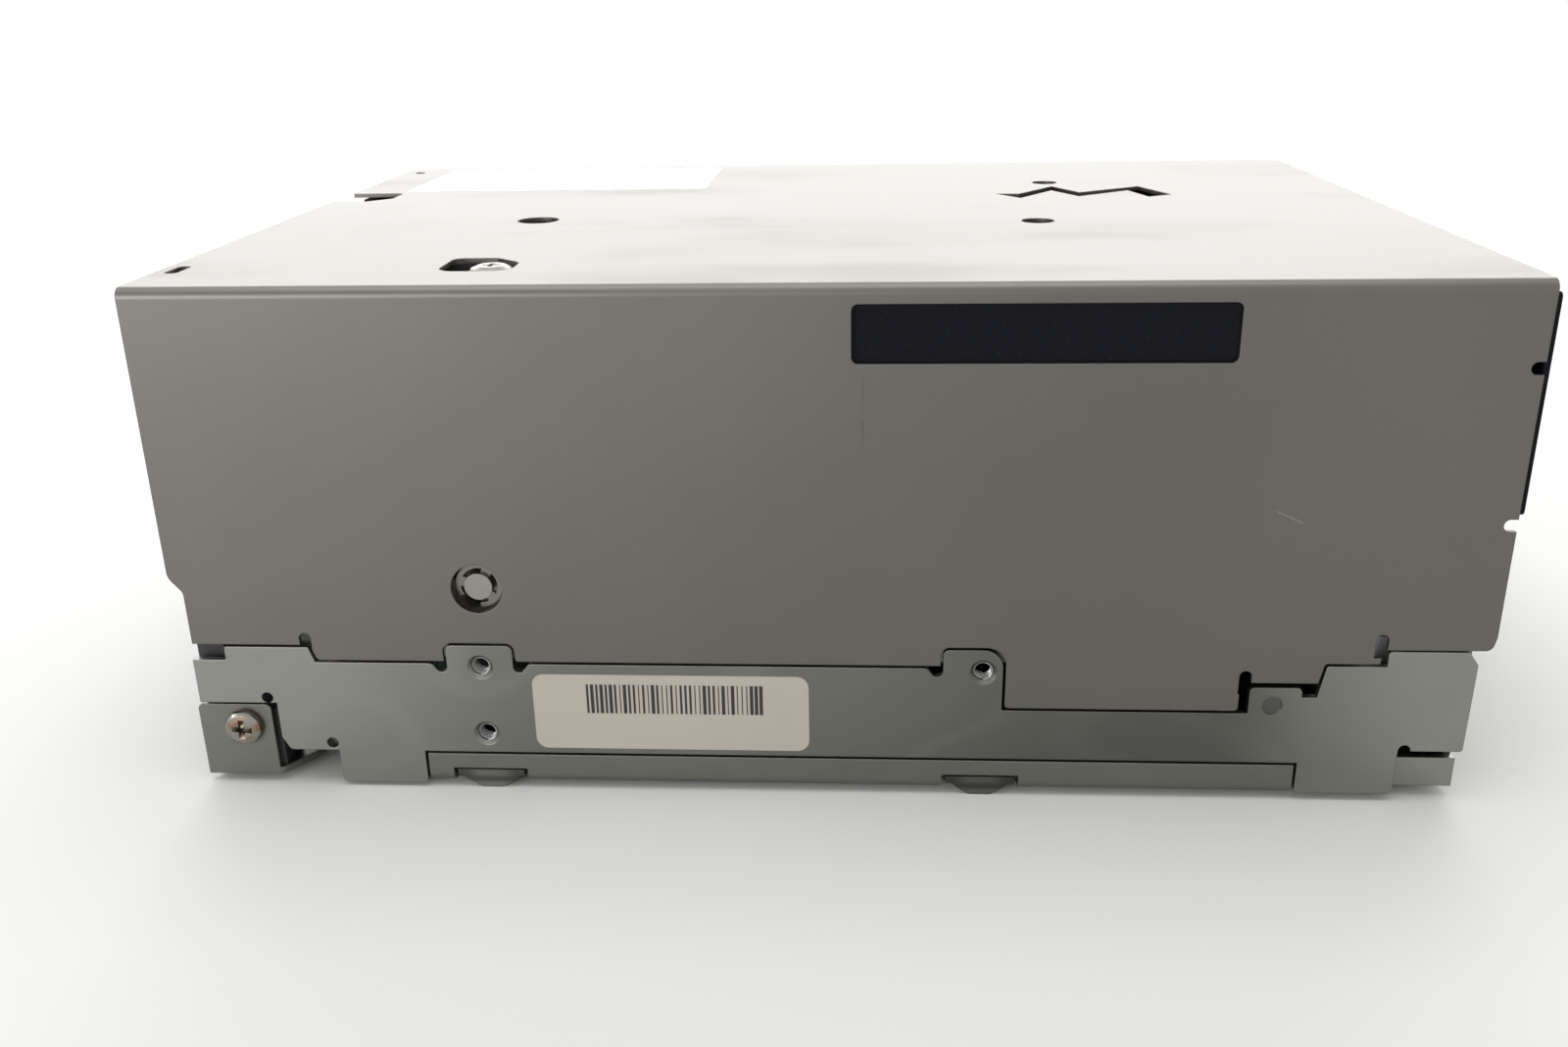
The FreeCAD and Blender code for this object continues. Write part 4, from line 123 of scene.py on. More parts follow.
class Maker:
    """Makes the nodes of one tree."""

    def node(self, kind, values=None, **settings):
        """Any node: its type, its sockets' values or links, and its settings, which are set first."""
        made = self.tree.nodes.new(kind)
        for key, value in settings.items():
            setattr(made, key, value)
        for key, value in (values or {}).items():
            if isinstance(value, Field):
                self.tree.links.new(value.socket, made.inputs[key])
            else:
                made.inputs[key].default_value = value
        return Outputs(self, made)


class Finish(Maker):
    """One procedural material, built round its Principled shader."""

    def __init__(self, name, **constants):
        self.material = bpy.data.materials.new(name)
        self.material.use_nodes = True
        self.tree = self.material.node_tree
        self.shader = self.tree.nodes["Principled BSDF"]
        for socket, value in constants.items():
            self.shader.inputs[socket.replace("_", " ")].default_value = value
        self.place = self.node("ShaderNodeTexCoord")["Object"]

    def feed(self, socket, field):
        self.tree.links.new(field.socket, self.shader.inputs[socket])

    def millimetres(self):
        """Where a point lies across, behind the mounting reference, and up, as at() counts them."""
        parts = self.node("ShaderNodeSeparateXYZ", {0: self.place})
        return parts[0] / MM, (parts[1] - REFERENCE_Y) / MM, parts[2] / MM

    def noise(self, scale, detail=3.0, rough=0.5, stretch=(1, 1, 1), turn=(0, 0, 0)):
        """Noise of about scale cells a metre, drawn out by stretch."""
        place = self.place
        if stretch != (1, 1, 1) or turn != (0, 0, 0):
            turned = self.node("ShaderNodeMapping", {0: self.place, "Rotation": turn})[0]
            place = self.node("ShaderNodeMapping", {0: turned, "Scale": stretch})[0]
        values = {"Vector": place, "Scale": scale, "Detail": detail, "Roughness": rough}
        return self.node("ShaderNodeTexNoise", values)[0]

    def cells(self, scale, stretch=(1, 1, 1)):
        """Distance from the middle of the nearest of about scale cells a metre."""
        place = self.node("ShaderNodeMapping", {0: self.place, "Scale": stretch})[0]
        return self.node("ShaderNodeTexVoronoi", {"Vector": place, "Scale": scale})["Distance"]

    def mix(self, factor, first, second):
        """Two colours mixed by a factor."""
        return self.node("ShaderNodeMix", {0: factor, 6: first, 7: second}, data_type="RGBA")[2]

    def shades(self, factor, tint, dark, light):
        """A tint that runs from dark to light times itself by a factor."""
        return self.mix(factor, solid(tint, dark), solid(tint, light))

    def coat(self, base, rough, relief, depth, strength=1.0, rounding=0.0):
        """Feeds colour, roughness and a relief in 0 to 1 that stands for depth, over edges rounded by rounding."""
        self.feed("Base Color", base)
        self.feed("Roughness", rough)
        values = {"Strength": strength, "Distance": depth, "Height": relief}
        if rounding:
            values["Normal"] = self.node("ShaderNodeBevel", {0: rounding}, samples=4)[0]
        self.feed("Normal", self.node("ShaderNodeBump", values)[0])
        return self


def solid(colour, factor=1.0):
    """A colour as RGBA, scaled by factor."""
    return (colour[0] * factor, colour[1] * factor, colour[2] * factor, 1.0)


def dress(finish, *names):
    """Gives CAD nodes a finish."""
    for name in names:
        slots = NODES[name].data.materials
        if not slots:
            slots.append(finish.material)
        for i in range(len(slots)):
            slots[i] = finish.material


class Growth(Maker):
    """A Geometry Nodes tree with named inputs, for what repeats or follows a line."""

    KINDS = {float: "NodeSocketFloat", int: "NodeSocketInt"}

    def __init__(self, name, **inputs):
        self.tree = bpy.data.node_groups.new(name, "GeometryNodeTree")
        face = self.tree.interface
        face.new_socket("Geometry", in_out="INPUT", socket_type="NodeSocketGeometry")
        face.new_socket("Geometry", in_out="OUTPUT", socket_type="NodeSocketGeometry")
        self.inputs = []
        for key, value in inputs.items():
            socket = face.new_socket(key, in_out="INPUT", socket_type=self.KINDS[type(value)])
            socket.default_value = value
            self.inputs.append((socket.identifier, value))
        self.given = self.node("NodeGroupInput")

    def coated(self, geometry, finish):
        """Geometry with its finish."""
        return self.node("GeometryNodeSetMaterial", {"Geometry": geometry, "Material": finish.material})[0]

    def vector(self, *parts):
        """A vector of values or fields, 0 where they run out."""
        return self.node("ShaderNodeCombineXYZ", dict(enumerate(parts)))[0]

    def copies(self, spots, pattern, **how):
        """A pattern on each of the spots, with its Rotation or Scale."""
        values = {"Points": spots, "Instance": pattern, **how}
        return self.node("GeometryNodeInstanceOnPoints", values)[0]

    def chance(self, highest, seed):
        """Another number from 0 to highest on each spot."""
        return self.node("FunctionNodeRandomValue", {3: highest, "Seed": seed})[1]

    def block(self, *size):
        """A cuboid."""
        return self.node("GeometryNodeMeshCube", {"Size": self.vector(*size)})[0]

    def row(self, count, step, start=0.0):
        """Spots along X."""
        values = {"Count": count, "Offset": self.vector(step), "Start Location": self.vector(start)}
        return self.node("GeometryNodeMeshLine", values)[0]

    def facing(self):
        """The turn that brings Z the way each spot faces."""
        facing = self.node("GeometryNodeInputNamedAttribute", {"Name": "facing"}, data_type="FLOAT_VECTOR")
        return self.node("FunctionNodeAlignRotationToVector", {"Vector": facing["Attribute"]}, axis="Z")[0]

    def pattern(self, part):
        """An object's geometry, as one thing to copy."""
        return self.node("GeometryNodeObjectInfo", {"Object": part, "As Instance": True})["Geometry"]

    def end(self, geometry, finish=None):
        """Closes the tree: real geometry, and a finish where the parts have none yet."""
        real = self.node("GeometryNodeRealizeInstances", {0: geometry})[0]
        if finish:
            real = self.coated(real, finish)
        self.node("NodeGroupOutput", {0: real})

    def grow(self, name, seed, slot_name):
        """Runs the tree on a seed mesh and makes a piece of the plain mesh that comes out."""
        carrier = bpy.data.objects.new(name + "_seed", seed)
        bpy.context.scene.collection.objects.link(carrier)
        modifier = carrier.modifiers.new("grow", "NODES")
        modifier.node_group = self.tree
        for identifier, value in self.inputs:
            modifier[identifier] = value
        graph = bpy.context.evaluated_depsgraph_get()
        mesh = bpy.data.meshes.new_from_object(carrier.evaluated_get(graph), depsgraph=graph)
        if not mesh.polygons:
            raise RuntimeError(f"{name}: its tree made nothing")
        bpy.data.objects.remove(carrier)
        return put(name, mesh)


def put(name, mesh):
    """Makes a piece of a finished mesh and sets it on the case, which every piece made here rides on."""
    mesh.name = name
    piece = bpy.data.objects.new(name, mesh)
    bpy.context.scene.collection.objects.link(piece)
    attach(piece, "case")
    return piece


def points(name, places, directions=None):
    """A mesh of bare points, each with the way it faces."""
    mesh = bpy.data.meshes.new(name)
    mesh.from_pydata([tuple(p) for p in places], [], [])
    if directions:
        facing = mesh.attributes.new("facing", "FLOAT_VECTOR", "POINT")
        facing.data.foreach_set("vector", [c for d in directions for c in d])
    return mesh


# ---------------------------------------------------------------- what a user would change

def colour(name, description, default):
    return bpy.props.FloatVectorProperty(
        name=name, description=description, default=default, size=3, min=0.0, max=1.0, subtype="COLOR"
    )


def length(name, description, default):
    return bpy.props.FloatProperty(
        name=name, description=description, default=default, min=0.0, unit="LENGTH", subtype="DISTANCE"
    )


def count(name, description, default):
    return bpy.props.IntProperty(name=name, description=description, default=default, min=1)


class DriveColours(bpy.types.PropertyGroup):
    """Colours of the drive's finishes."""

    cover: colour("Cover sheet", "Galvanised sheet of the top cover", (0.150, 0.143, 0.131))
    chassis: colour("Chassis sheet", "Galvanised sheet of the base chassis", (0.172, 0.171, 0.155))
    zinc: colour("Zinc plating", "Clear zinc of the screws and loader sheet", (0.27, 0.26, 0.235))
    yellow_zinc: colour("Warm zinc", "Warmer passivation that shows in patches on the screws", (0.26, 0.135, 0.075))
    ground: colour("Ground steel", "Shafts and pins", (0.50, 0.50, 0.495))
    clip: colour("Spring steel", "Retaining clip on the stub shaft", (0.20, 0.19, 0.17))
    cast: colour("Cast alloy", "Die-cast deck", (0.46, 0.465, 0.47))
    can: colour("Motor can", "Plated motor shells", (0.40, 0.40, 0.395))
    brass: colour("Brass", "Turned worm and threader pinion", (0.58, 0.42, 0.17))
    copper: colour("Copper", "Coils of the fine actuator", (0.55, 0.25, 0.12))
    black: colour("Black moulding", "Front panel, door and connectors", (0.022, 0.022, 0.025))
    button: colour("Button", "Eject button", (0.10, 0.12, 0.15))
    film: colour("Insulating film", "Film behind the window and at the rear", (0.006, 0.0065, 0.010))
    mask: colour("Board", "Solder mask of the boards", (0.012, 0.085, 0.040))
    reel: colour("Reel", "Glass-filled reel moulding", (0.060, 0.065, 0.072))
    acetal: colour("White acetal", "Arm, leader block and gears", (0.66, 0.63, 0.55))
    label: colour("Label stock", "Paper of the side label", (0.435, 0.396, 0.344))
    top_label: colour("Top label stock", "Paper of the blank label on top", (0.62, 0.62, 0.61))
    ink: colour("Ink", "Bars on the side label", (0.016, 0.014, 0.014))


class LabelSizes(bpy.types.PropertyGroup):
    """Sizes of the two labels."""

    width: length("Width", "Side label, along the drive", 44.0 * MM)
    height: length("Height", "Side label, upwards", 13.2 * MM)
    corner: length("Corner", "Radius of the label's corners", 1.9 * MM)
    thickness: length("Thickness", "Stock and glue", 0.10 * MM)
    front: length("From the front", "Front edge of the side label behind the mounting reference", 55.5 * MM)
    low: length("Height above the feet", "Lower edge of the side label", 7.6 * MM)
    bars: count("Bars", "Bars in the strip", 38)
    bar_height: length("Bar height", "Height of the strip", 5.1 * MM)
    bar_span: length("Bar span", "Length of the strip", 28.4 * MM)
    bar_start: length("Bar start", "First bar behind the label's front edge", 8.8 * MM)
    bar_low: length("Bar line", "Middle of the strip above the label's lower edge", 8.95 * MM)
    ink: length("Ink", "Thickness of the print", 0.012 * MM)
    seed: count("Seed", "Another number deals the bars anew", 5)


class ThreadSizes(bpy.types.PropertyGroup):
    """The threads in the mounting holes."""

    pitch: length("Pitch", "M3 coarse", 0.5 * MM)
    bore: length("Bore", "Radius at the crests", 1.26 * MM)
    root: length("Root", "Radius at the roots", 1.52 * MM)
    turns: bpy.props.FloatProperty(name="Turns", description="Turns in each hole", default=5.0, min=1.0)


class ContactSizes(bpy.types.PropertyGroup):
    """The contacts of the data connector."""

    count: count("Contacts", "Contacts in each row", 26)
    pitch: length("Pitch", "From contact to contact", 1.27 * MM)
    width: length("Width", "Width of a contact", 0.7 * MM)
    reach: length("Reach", "Length of a contact", 4.6 * MM)


class BoardSizes(bpy.types.PropertyGroup):
    """Leads and small parts on the main board."""

    lead: length("Lead pitch", "From lead to lead", 0.8 * MM)
    part: length("Small part", "Length of a small part", 2.0 * MM)
    spacing: length("Spacing", "Least distance between small parts", 4.2 * MM)
    seed: count("Seed", "Another number lays the small parts out anew", 4)


# ---------------------------------------------------------------- finishes

def sheet_steel(name, tint, marks_and_light=None, wave_and_sheen=0.0):
    """Galvanised sheet: satin grain, soft clouds, faint rubs, and a slight waviness where it is thin, shown as a bump
    and as painted sheen bands.
    """
    finish = Finish(name, Metallic=1.0, IOR=1.5)
    clouds = finish.noise(14.0, 4.0, 0.55)
    grain = finish.noise(2600.0, 2.0, 0.6, stretch=(1, 0.12, 1))
    fine = finish.noise(5200.0, 1.0)
    rubs = finish.noise(900.0, 4.0, 0.7, stretch=(0.10, 0.02, 1.0), turn=(0.5, 0, 0)).step(0.72, 0.86)
    smears = finish.noise(34.0, 3.0, 0.6, stretch=(1, 0.35, 1)).step(0.48, 0.72)
    # painted sheen: bands of lighter colour that stand in for reflections off the wavy sheet
    sheen = finish.noise(26.0, 1.0, stretch=(1, 1, 1.3)).math("PINGPONG", 0.5).step(0.44, 0.50)
    base = finish.shades(clouds, tint, 0.86, 1.16)
    base = finish.mix(grain * 0.30, base, solid(tint, 0.80))
    base = finish.mix(rubs * 0.16, base, solid(tint, 1.5))
    base = finish.mix(sheen * (wave_and_sheen * 0.45), base, solid(tint, 1.6))
    relief = grain * 0.6 + fine * 0.4
    if marks_and_light:
        base, relief = marks_and_light(finish, base, relief)
    rough = 0.40 - wave_and_sheen * 0.12 + clouds * 0.06 + smears * 0.05 - rubs * 0.06
    if wave_and_sheen:
        relief = relief + finish.noise(70.0, 1.0, stretch=(1, 1, 0.7)) * (wave_and_sheen * 30.0)
    return finish.coat(base, rough, relief, 0.012 * MM, 0.35, 0.25 * MM)


def within(field, low, high, soft):
    """1 where a field lies between low and high, with soft edges."""
    return field.step(low - soft, low + soft) * field.step(high + soft, high - soft)


def painted_chassis_light(finish, base, relief):
    """Painted highlights towards the front and rear, a painted dull and darker stretch along the middle, a painted
    shaded spot at the small dent, and painted shade in the bosses, lighter on their domes.
    """
    _, y, z = finish.millimetres()
    back = (BACK_Y - REFERENCE_Y) / MM
    # painted highlight: the chassis is lighter towards the front and the rear
    painted_end_highlight = y.step(62, 14) + y.step(165, back - 8)
    base = finish.mix(painted_end_highlight.ramp(0.0, 1.0) * 0.6, base, (0.30, 0.30, 0.275, 1))
    # painted shade: darker along the middle stretch, in place of a dark reflection
    base = finish.mix(y.step(100, 150) * y.step(178, 162) * 0.55, base, (0.072, 0.070, 0.063, 1))
    # painted shade: a darker round spot in the small dent
    along, up = y - 171.1, z - 16.6
    dimple_shade = (along * along + up * up).step(2.6, 2.1)
    base = finish.mix(dimple_shade * 0.45, base, (0.045, 0.043, 0.038, 1))
    shade = None
    # painted shade in each boss recess, taken back where the dome catches the light
    for hole in HOLE_YS:
        rim = within(y, hole - 7.6, hole + 7.6, 0.4) * within(z, 1.0, 4.4, 0.5)
        dome = within(y, hole - 3.0, hole + 3.0, 1.6) * within(z, 2.0, 3.2, 0.7)
        boss_recess_shade = rim - dome * 0.8
        shade = boss_recess_shade if shade is None else shade + boss_recess_shade
    return finish.mix(shade.ramp(0.0, 1.0) * 0.7, base, (0.03, 0.027, 0.024, 1)), relief

def cover_marks(finish, base, relief):
    """Traces of a removed label and a light scratch on the side that carries the window."""
    x, y, z = finish.millimetres()
    side = x.step(HALF - 1.2, HALF - 0.9)
    ragged = finish.noise(420.0, 3.0, 0.7)
    line = within(y, 107.72, 108.08, 0.22) * within(z, 57.9, 69.3, 0.4)
    foot = within(z, 57.6, 57.9, 0.2) * within(y, 107.9, 133.9, 0.5) * ragged.step(0.62, 0.70)
    traces = (line + foot * 0.5) * ragged.step(0.42, 0.62) * side
    slant = z - 47.7 + (y - 170.5) * 0.45
    scratch = within(slant, -0.1, 0.1, 0.15) * within(y, 168.5, 172.5, 0.6) * side
    base = finish.mix(traces * 0.35, base, (0.06, 0.055, 0.05, 1))
    base = finish.mix(scratch * 0.16, base, (0.75, 0.72, 0.66, 1))
    return base, relief - scratch * 0.4


def zinc_plate(name, tint, warm):
    """Zinc plating on small turned and pressed parts, with warm patches where the passivation is thicker."""
    finish = Finish(name, Metallic=1.0)
    patches = finish.noise(520.0, 3.0, 0.6).step(0.42, 0.68)
    pits = finish.noise(5200.0, 2.0)
    base = finish.mix(patches * 0.85, solid(tint), solid(warm))
    return finish.coat(base, 0.16 + patches * 0.14 + pits * 0.06, pits, 0.014 * MM, 0.5, 0.08 * MM)


def pressed_zinc(name, tint):
    """Zinc plated sheet of the loader and the motor shells."""
    finish = Finish(name, Metallic=1.0)
    clouds = finish.noise(60.0, 4.0, 0.6)
    grain = finish.noise(3200.0, 2.0, 0.5, stretch=(1, 0.2, 1))
    base = finish.shades(clouds, tint, 0.82, 1.12)
    return finish.coat(base, 0.28 + clouds * 0.14, grain, 0.010 * MM, 0.4, 0.15 * MM)


def turned_metal(name, tint, rough):
    """Ground or turned metal with fine rings."""
    finish = Finish(name, Metallic=1.0)
    rings = finish.noise(2400.0, 2.0, 0.5, stretch=(1, 1, 0.1))
    stain = finish.noise(90.0, 3.0)
    base = finish.shades(stain, tint, 0.9, 1.08)
    return finish.coat(base, rough + rings * 0.08, rings, 0.004 * MM, 0.4, 0.06 * MM)


def cast_alloy(name, tint):
    """Shot-blasted die casting."""
    finish = Finish(name, Metallic=1.0)
    pits = finish.cells(2400.0)
    clouds = finish.noise(26.0, 4.0)
    base = finish.shades(clouds, tint, 0.85, 1.1)
    return finish.coat(base, 0.46 + clouds * 0.10, pits, 0.05 * MM, 0.5, 0.4 * MM)


def moulding(name, tint, rough=0.48, texture=0.5):
    """Moulded plastic with a fine spark-eroded texture."""
    finish = Finish(name, Metallic=0.0)
    pores = finish.cells(1700.0)
    clouds = finish.noise(40.0, 3.0)
    rough = rough + pores * 0.12 - clouds * 0.06
    return finish.coat(finish.shades(clouds, tint, 0.85, 1.2), rough, pores, 0.030 * MM, texture, 0.2 * MM)


def glossy_film(name, tint):
    """Thin polycarbonate film with slight waves."""
    finish = Finish(name, Metallic=0.0, Specular_IOR_Level=0.07)
    waves = finish.noise(45.0, 2.0, stretch=(1, 0.5, 1))
    dust = finish.noise(1500.0, 3.0, 0.7).step(0.62, 0.80)
    base = finish.mix(dust * 0.2, solid(tint), (0.10, 0.10, 0.11, 1))
    return finish.coat(base, 0.22 + dust * 0.30 + waves * 0.05, waves, 0.25 * MM, 0.4)


def stub_finish(tints):
    """The loader gear: white acetal teeth on a bright stub shaft."""
    finish = Finish("gear_and_stub", IOR=1.5)
    shaft = finish.millimetres()[0].step(HALF - 5.2, HALF - 5.0)
    grain = finish.noise(2400.0, 2.0)
    finish.feed("Metallic", shaft * 0.9)
    base = finish.mix(shaft, solid(tints.acetal), finish.shades(grain, tints.cover, 1.6, 2.0))
    return finish.coat(base, 0.36 + grain * 0.1, grain, 0.008 * MM, 0.4, 0.1 * MM)


def rubber(name):
    """Moulded rubber with bloom."""
    finish = Finish(name, Metallic=0.0)
    bloom = finish.noise(160.0, 4.0, 0.65)
    base = finish.mix(bloom, (0.012, 0.012, 0.012, 1), (0.045, 0.044, 0.042, 1))
    return finish.coat(base, 0.62 + bloom * 0.18, bloom, 0.05 * MM, 0.5, 0.3 * MM)


def solder_mask(name, tint):
    """Circuit board: tracks and plated holes under a green mask."""
    finish = Finish(name, Metallic=0.0)
    lanes = finish.noise(180.0, 1.0, stretch=(1, 0.15, 1)).step(0.47, 0.50)
    links = finish.noise(210.0, 1.0, stretch=(0.15, 1, 1)).step(0.55, 0.57)
    fills = finish.noise(38.0, 0.0).step(0.56, 0.57)
    tracks = (lanes * 0.6 + links * 0.5 + fills * 0.5).ramp(0.0, 1.0)
    holes = finish.cells(330.0, stretch=(1, 1, 0)).step(0.16, 0.12)
    base = finish.mix(holes, finish.shades(tracks, tint, 0.75, 1.9), (0.50, 0.47, 0.40, 1))
    finish.feed("Metallic", holes * 0.9)
    return finish.coat(base, 0.30 + tracks * 0.06, tracks + holes * 0.3, 0.035 * MM, 0.7)


def epoxy(name):
    """Moulded epoxy of the packages."""
    finish = Finish(name, Metallic=0.0)
    grains = finish.noise(2600.0, 3.0, 0.6)
    base = finish.mix(finish.noise(30.0, 1.0), (0.014, 0.014, 0.015, 1), (0.034, 0.034, 0.036, 1))
    return finish.coat(base, 0.42 + grains * 0.22, grains, 0.02 * MM, 0.6, 0.1 * MM)


def ceramic(name):
    """Lapped head ceramic with the dark gap lines of its module."""
    finish = Finish(name, Metallic=0.0)
    gaps = finish.noise(900.0, 0.0, stretch=(0.02, 1, 0.02)).step(0.60, 0.62)
    flecks = finish.noise(3000.0, 2.0)
    base = finish.mix(gaps, (0.045, 0.040, 0.038, 1), (0.20, 0.16, 0.09, 1))
    return finish.coat(base, 0.10 + flecks * 0.08, flecks, 0.002 * MM, 0.3, 0.1 * MM)


def label_paper(name, tint):
    """Label stock: paper under a thin varnish, a little soiled."""
    finish = Finish(name, Metallic=0.0, IOR=1.46)
    fibres = finish.noise(2200.0, 3.0, 0.6)
    soil = finish.noise(70.0, 4.0, 0.6)
    return finish.coat(finish.shades(soil, tint, 0.94, 1.05), 0.36 + soil * 0.10, fibres, 0.006 * MM, 0.5)


def print_ink(name, tint):
    """Thermal print, slightly broken up."""
    finish = Finish(name, Metallic=0.0)
    specks = finish.noise(2600.0, 2.0)
    base = finish.mix(specks.step(0.60, 0.85), solid(tint), solid(tint, 6.0))
    return finish.coat(base, 0.34 + specks * 0.2, specks, 0.004 * MM, 0.4)


# ---------------------------------------------------------------- mesh helpers

def at(x, y, z):
    """A place in the part's frame from millimetres across, behind the mounting reference, and up."""
    return Vector((x * MM, REFERENCE_Y + y * MM, z * MM))


def add_piece(mesh, finish):
    """Coats a mesh and makes a piece of it."""
    mesh.materials.append(finish.material)
    return put(mesh.name, mesh)


def made_mesh(bm, name):
    """The mesh of a bmesh, which is used up."""
    mesh = bpy.data.meshes.new(name)
    bm.to_mesh(mesh)
    bm.free()
    return mesh


def rounded_outline(u1, v1, u2, v2, radius, steps=6):
    """Corners of a rounded rectangle, counter-clockwise."""
    outline = []
    for u, v, start in ((u2 - radius, v2 - radius, 0), (u1 + radius, v2 - radius, 90),
                        (u1 + radius, v1 + radius, 180), (u2 - radius, v1 + radius, 270)):
        for i in range(steps + 1):
            angle = math.radians(start + 90 * i / steps)
            outline.append((u + radius * math.cos(angle), v + radius * math.sin(angle)))
    return outline


def slab(name, outline, place, thickness, rim):
    """A thin plate from an outline, its upper rim rounded, set by place."""
    bm = bmesh.new()
    face = bm.faces.new([bm.verts.new((u, v, 0)) for u, v in outline])
    top = bmesh.ops.extrude_face_region(bm, geom=[face])["geom"]
    raised = [v for v in top if isinstance(v, bmesh.types.BMVert)]
    bmesh.ops.translate(bm, verts=raised, vec=(0, 0, thickness))
    edges = [e for e in bm.edges if all(v in raised for v in e.verts)]
    bmesh.ops.bevel(bm, geom=edges, offset=rim, segments=2, affect="EDGES")
    bmesh.ops.recalc_face_normals(bm, faces=bm.faces)
    bm.transform(place)
    return made_mesh(bm, name)


def lathe(name, profile, segments):
    """A closed solid turned about Z from (radius, height) in millimetres, its first and last points on the axis."""
    bm = bmesh.new()
    rings = []
    for radius, height in profile:
        if radius == 0:
            rings.append([bm.verts.new((0, 0, height * MM))])
            continue
        turns = [math.tau * i / segments for i in range(segments)]
        rings.append([bm.verts.new(Vector((radius * math.cos(a), radius * math.sin(a), height)) * MM) for a in turns])
    for low, high in zip(rings, rings[1:]):
        for i in range(segments):
            j = (i + 1) % segments
            corners = [low[i % len(low)], low[j % len(low)], high[j % len(high)], high[i % len(high)]]
            bm.faces.new(list(dict.fromkeys(corners)))
    bmesh.ops.recalc_face_normals(bm, faces=bm.faces)
    return made_mesh(bm, name)


def add_box(bm, low, high):
    """A box between two corners."""
    low, high = Vector(low), Vector(high)
    place = Matrix.Translation((low + high) / 2) @ Matrix.Diagonal((*(high - low), 1))
    bmesh.ops.create_cube(bm, size=1.0, matrix=place)


def box_mesh(name, boxes):
    """Boxes, each given by its two corners, as one mesh."""
    bm = bmesh.new()
    for low, high in boxes:
        add_box(bm, low, high)
    return made_mesh(bm, name)


def cut_away(whole, cutter):
    """The mesh of one object less another's. Both objects are used up."""
    for made in (whole, cutter):
        bpy.context.scene.collection.objects.link(made)
    cut = whole.modifiers.new("cut", "BOOLEAN")
    cut.object = cutter
    cut.solver = "EXACT"
    graph = bpy.context.evaluated_depsgraph_get()
    mesh = bpy.data.meshes.new_from_object(whole.evaluated_get(graph), depsgraph=graph)
    if len(mesh.polygons) < len(cutter.data.polygons):
        raise RuntimeError(f"{whole.name}: the cut left nothing")
    bpy.data.objects.remove(whole)
    bpy.data.objects.remove(cutter)
    return mesh


def closed_copy(node_name):
    """A CAD node's mesh in the part's frame, its faces joined along their edges."""
    source = NODES[node_name]
    bm = bmesh.new()
    bm.from_mesh(source.data)
    bm.transform(source.matrix_world)
    bmesh.ops.remove_doubles(bm, verts=bm.verts, dist=0.002 * MM)
    bmesh.ops.dissolve_degenerate(bm, edges=bm.edges, dist=0.001 * MM)
    return made_mesh(bm, node_name + "_sheet")


def screw_pattern(name, head, rise, shank, reach, turns):
    """A pan head with a cross recess and a threaded shank, seated at the origin and facing up."""
    profile = [(0, -reach), (shank * 0.7, -reach), (shank, -reach + SCREW_PITCH * 0.6)]
    for i in range(turns):
        low = -reach + SCREW_PITCH * (i + 0.8)
        profile += [(shank, low), (shank - 0.3 * SCREW_PITCH, low + SCREW_PITCH / 2)]
    profile.append((shank, 0))
    profile += [(head * r, rise * h) for r, h in PAN_HEAD]
    whole = bpy.data.objects.new(name, lathe(name, profile, 40))
    return cut_away(whole, bpy.data.objects.new(name + "_driver", cross_blade(shank * MM, rise * MM)))


def cross_blade(shank, rise):
    """The tip of a cross driver: a plus outline that narrows downwards."""
    bm = bmesh.new()
    rings = []
    for half, arm, height in ((0.24, 0.52, 0.20), (0.38, 1.36, 1.25)):
        h, a = half * shank, arm * shank
        quarter = ((a, -h), (a, h), (h, h))
        turns = (Matrix.Rotation(math.radians(90 * i), 2) for i in range(4))
        corners = [turn @ Vector(corner) for turn in turns for corner in quarter]
        rings.append([bm.verts.new((*corner, height * rise)) for corner in corners])
    low, high = rings
    bm.faces.new(high)
    bm.faces.new(low[::-1])
    for i in range(12):
        j = (i + 1) % 12
        bm.faces.new((low[i], low[j], high[j], high[i]))
    bmesh.ops.recalc_face_normals(bm, faces=bm.faces)
    return made_mesh(bm, "cross_blade")


def set_out(name, pattern, spots, finish, slot_name, spin=0.0, seed=1):
    """Copies a pattern to spots, each (place, facing), turned about its own axis by chance up to spin."""
    part = bpy.data.objects.new(name + "_pattern", pattern)
    tree = Growth(name, Spin=spin, Seed=seed)
    copies = tree.copies(tree.given["Geometry"], tree.pattern(part), Rotation=tree.facing())
    angle = tree.vector(0.0, 0.0, tree.chance(tree.given["Spin"], tree.given["Seed"]))
    copies = tree.node("GeometryNodeRotateInstances", {"Instances": copies, "Rotation": angle})[0]
    tree.end(copies, finish)
    piece = tree.grow(name, points(name + "_spots", *zip(*spots)), slot_name)
    bpy.data.objects.remove(part)
    return piece


# ---------------------------------------------------------------- steps

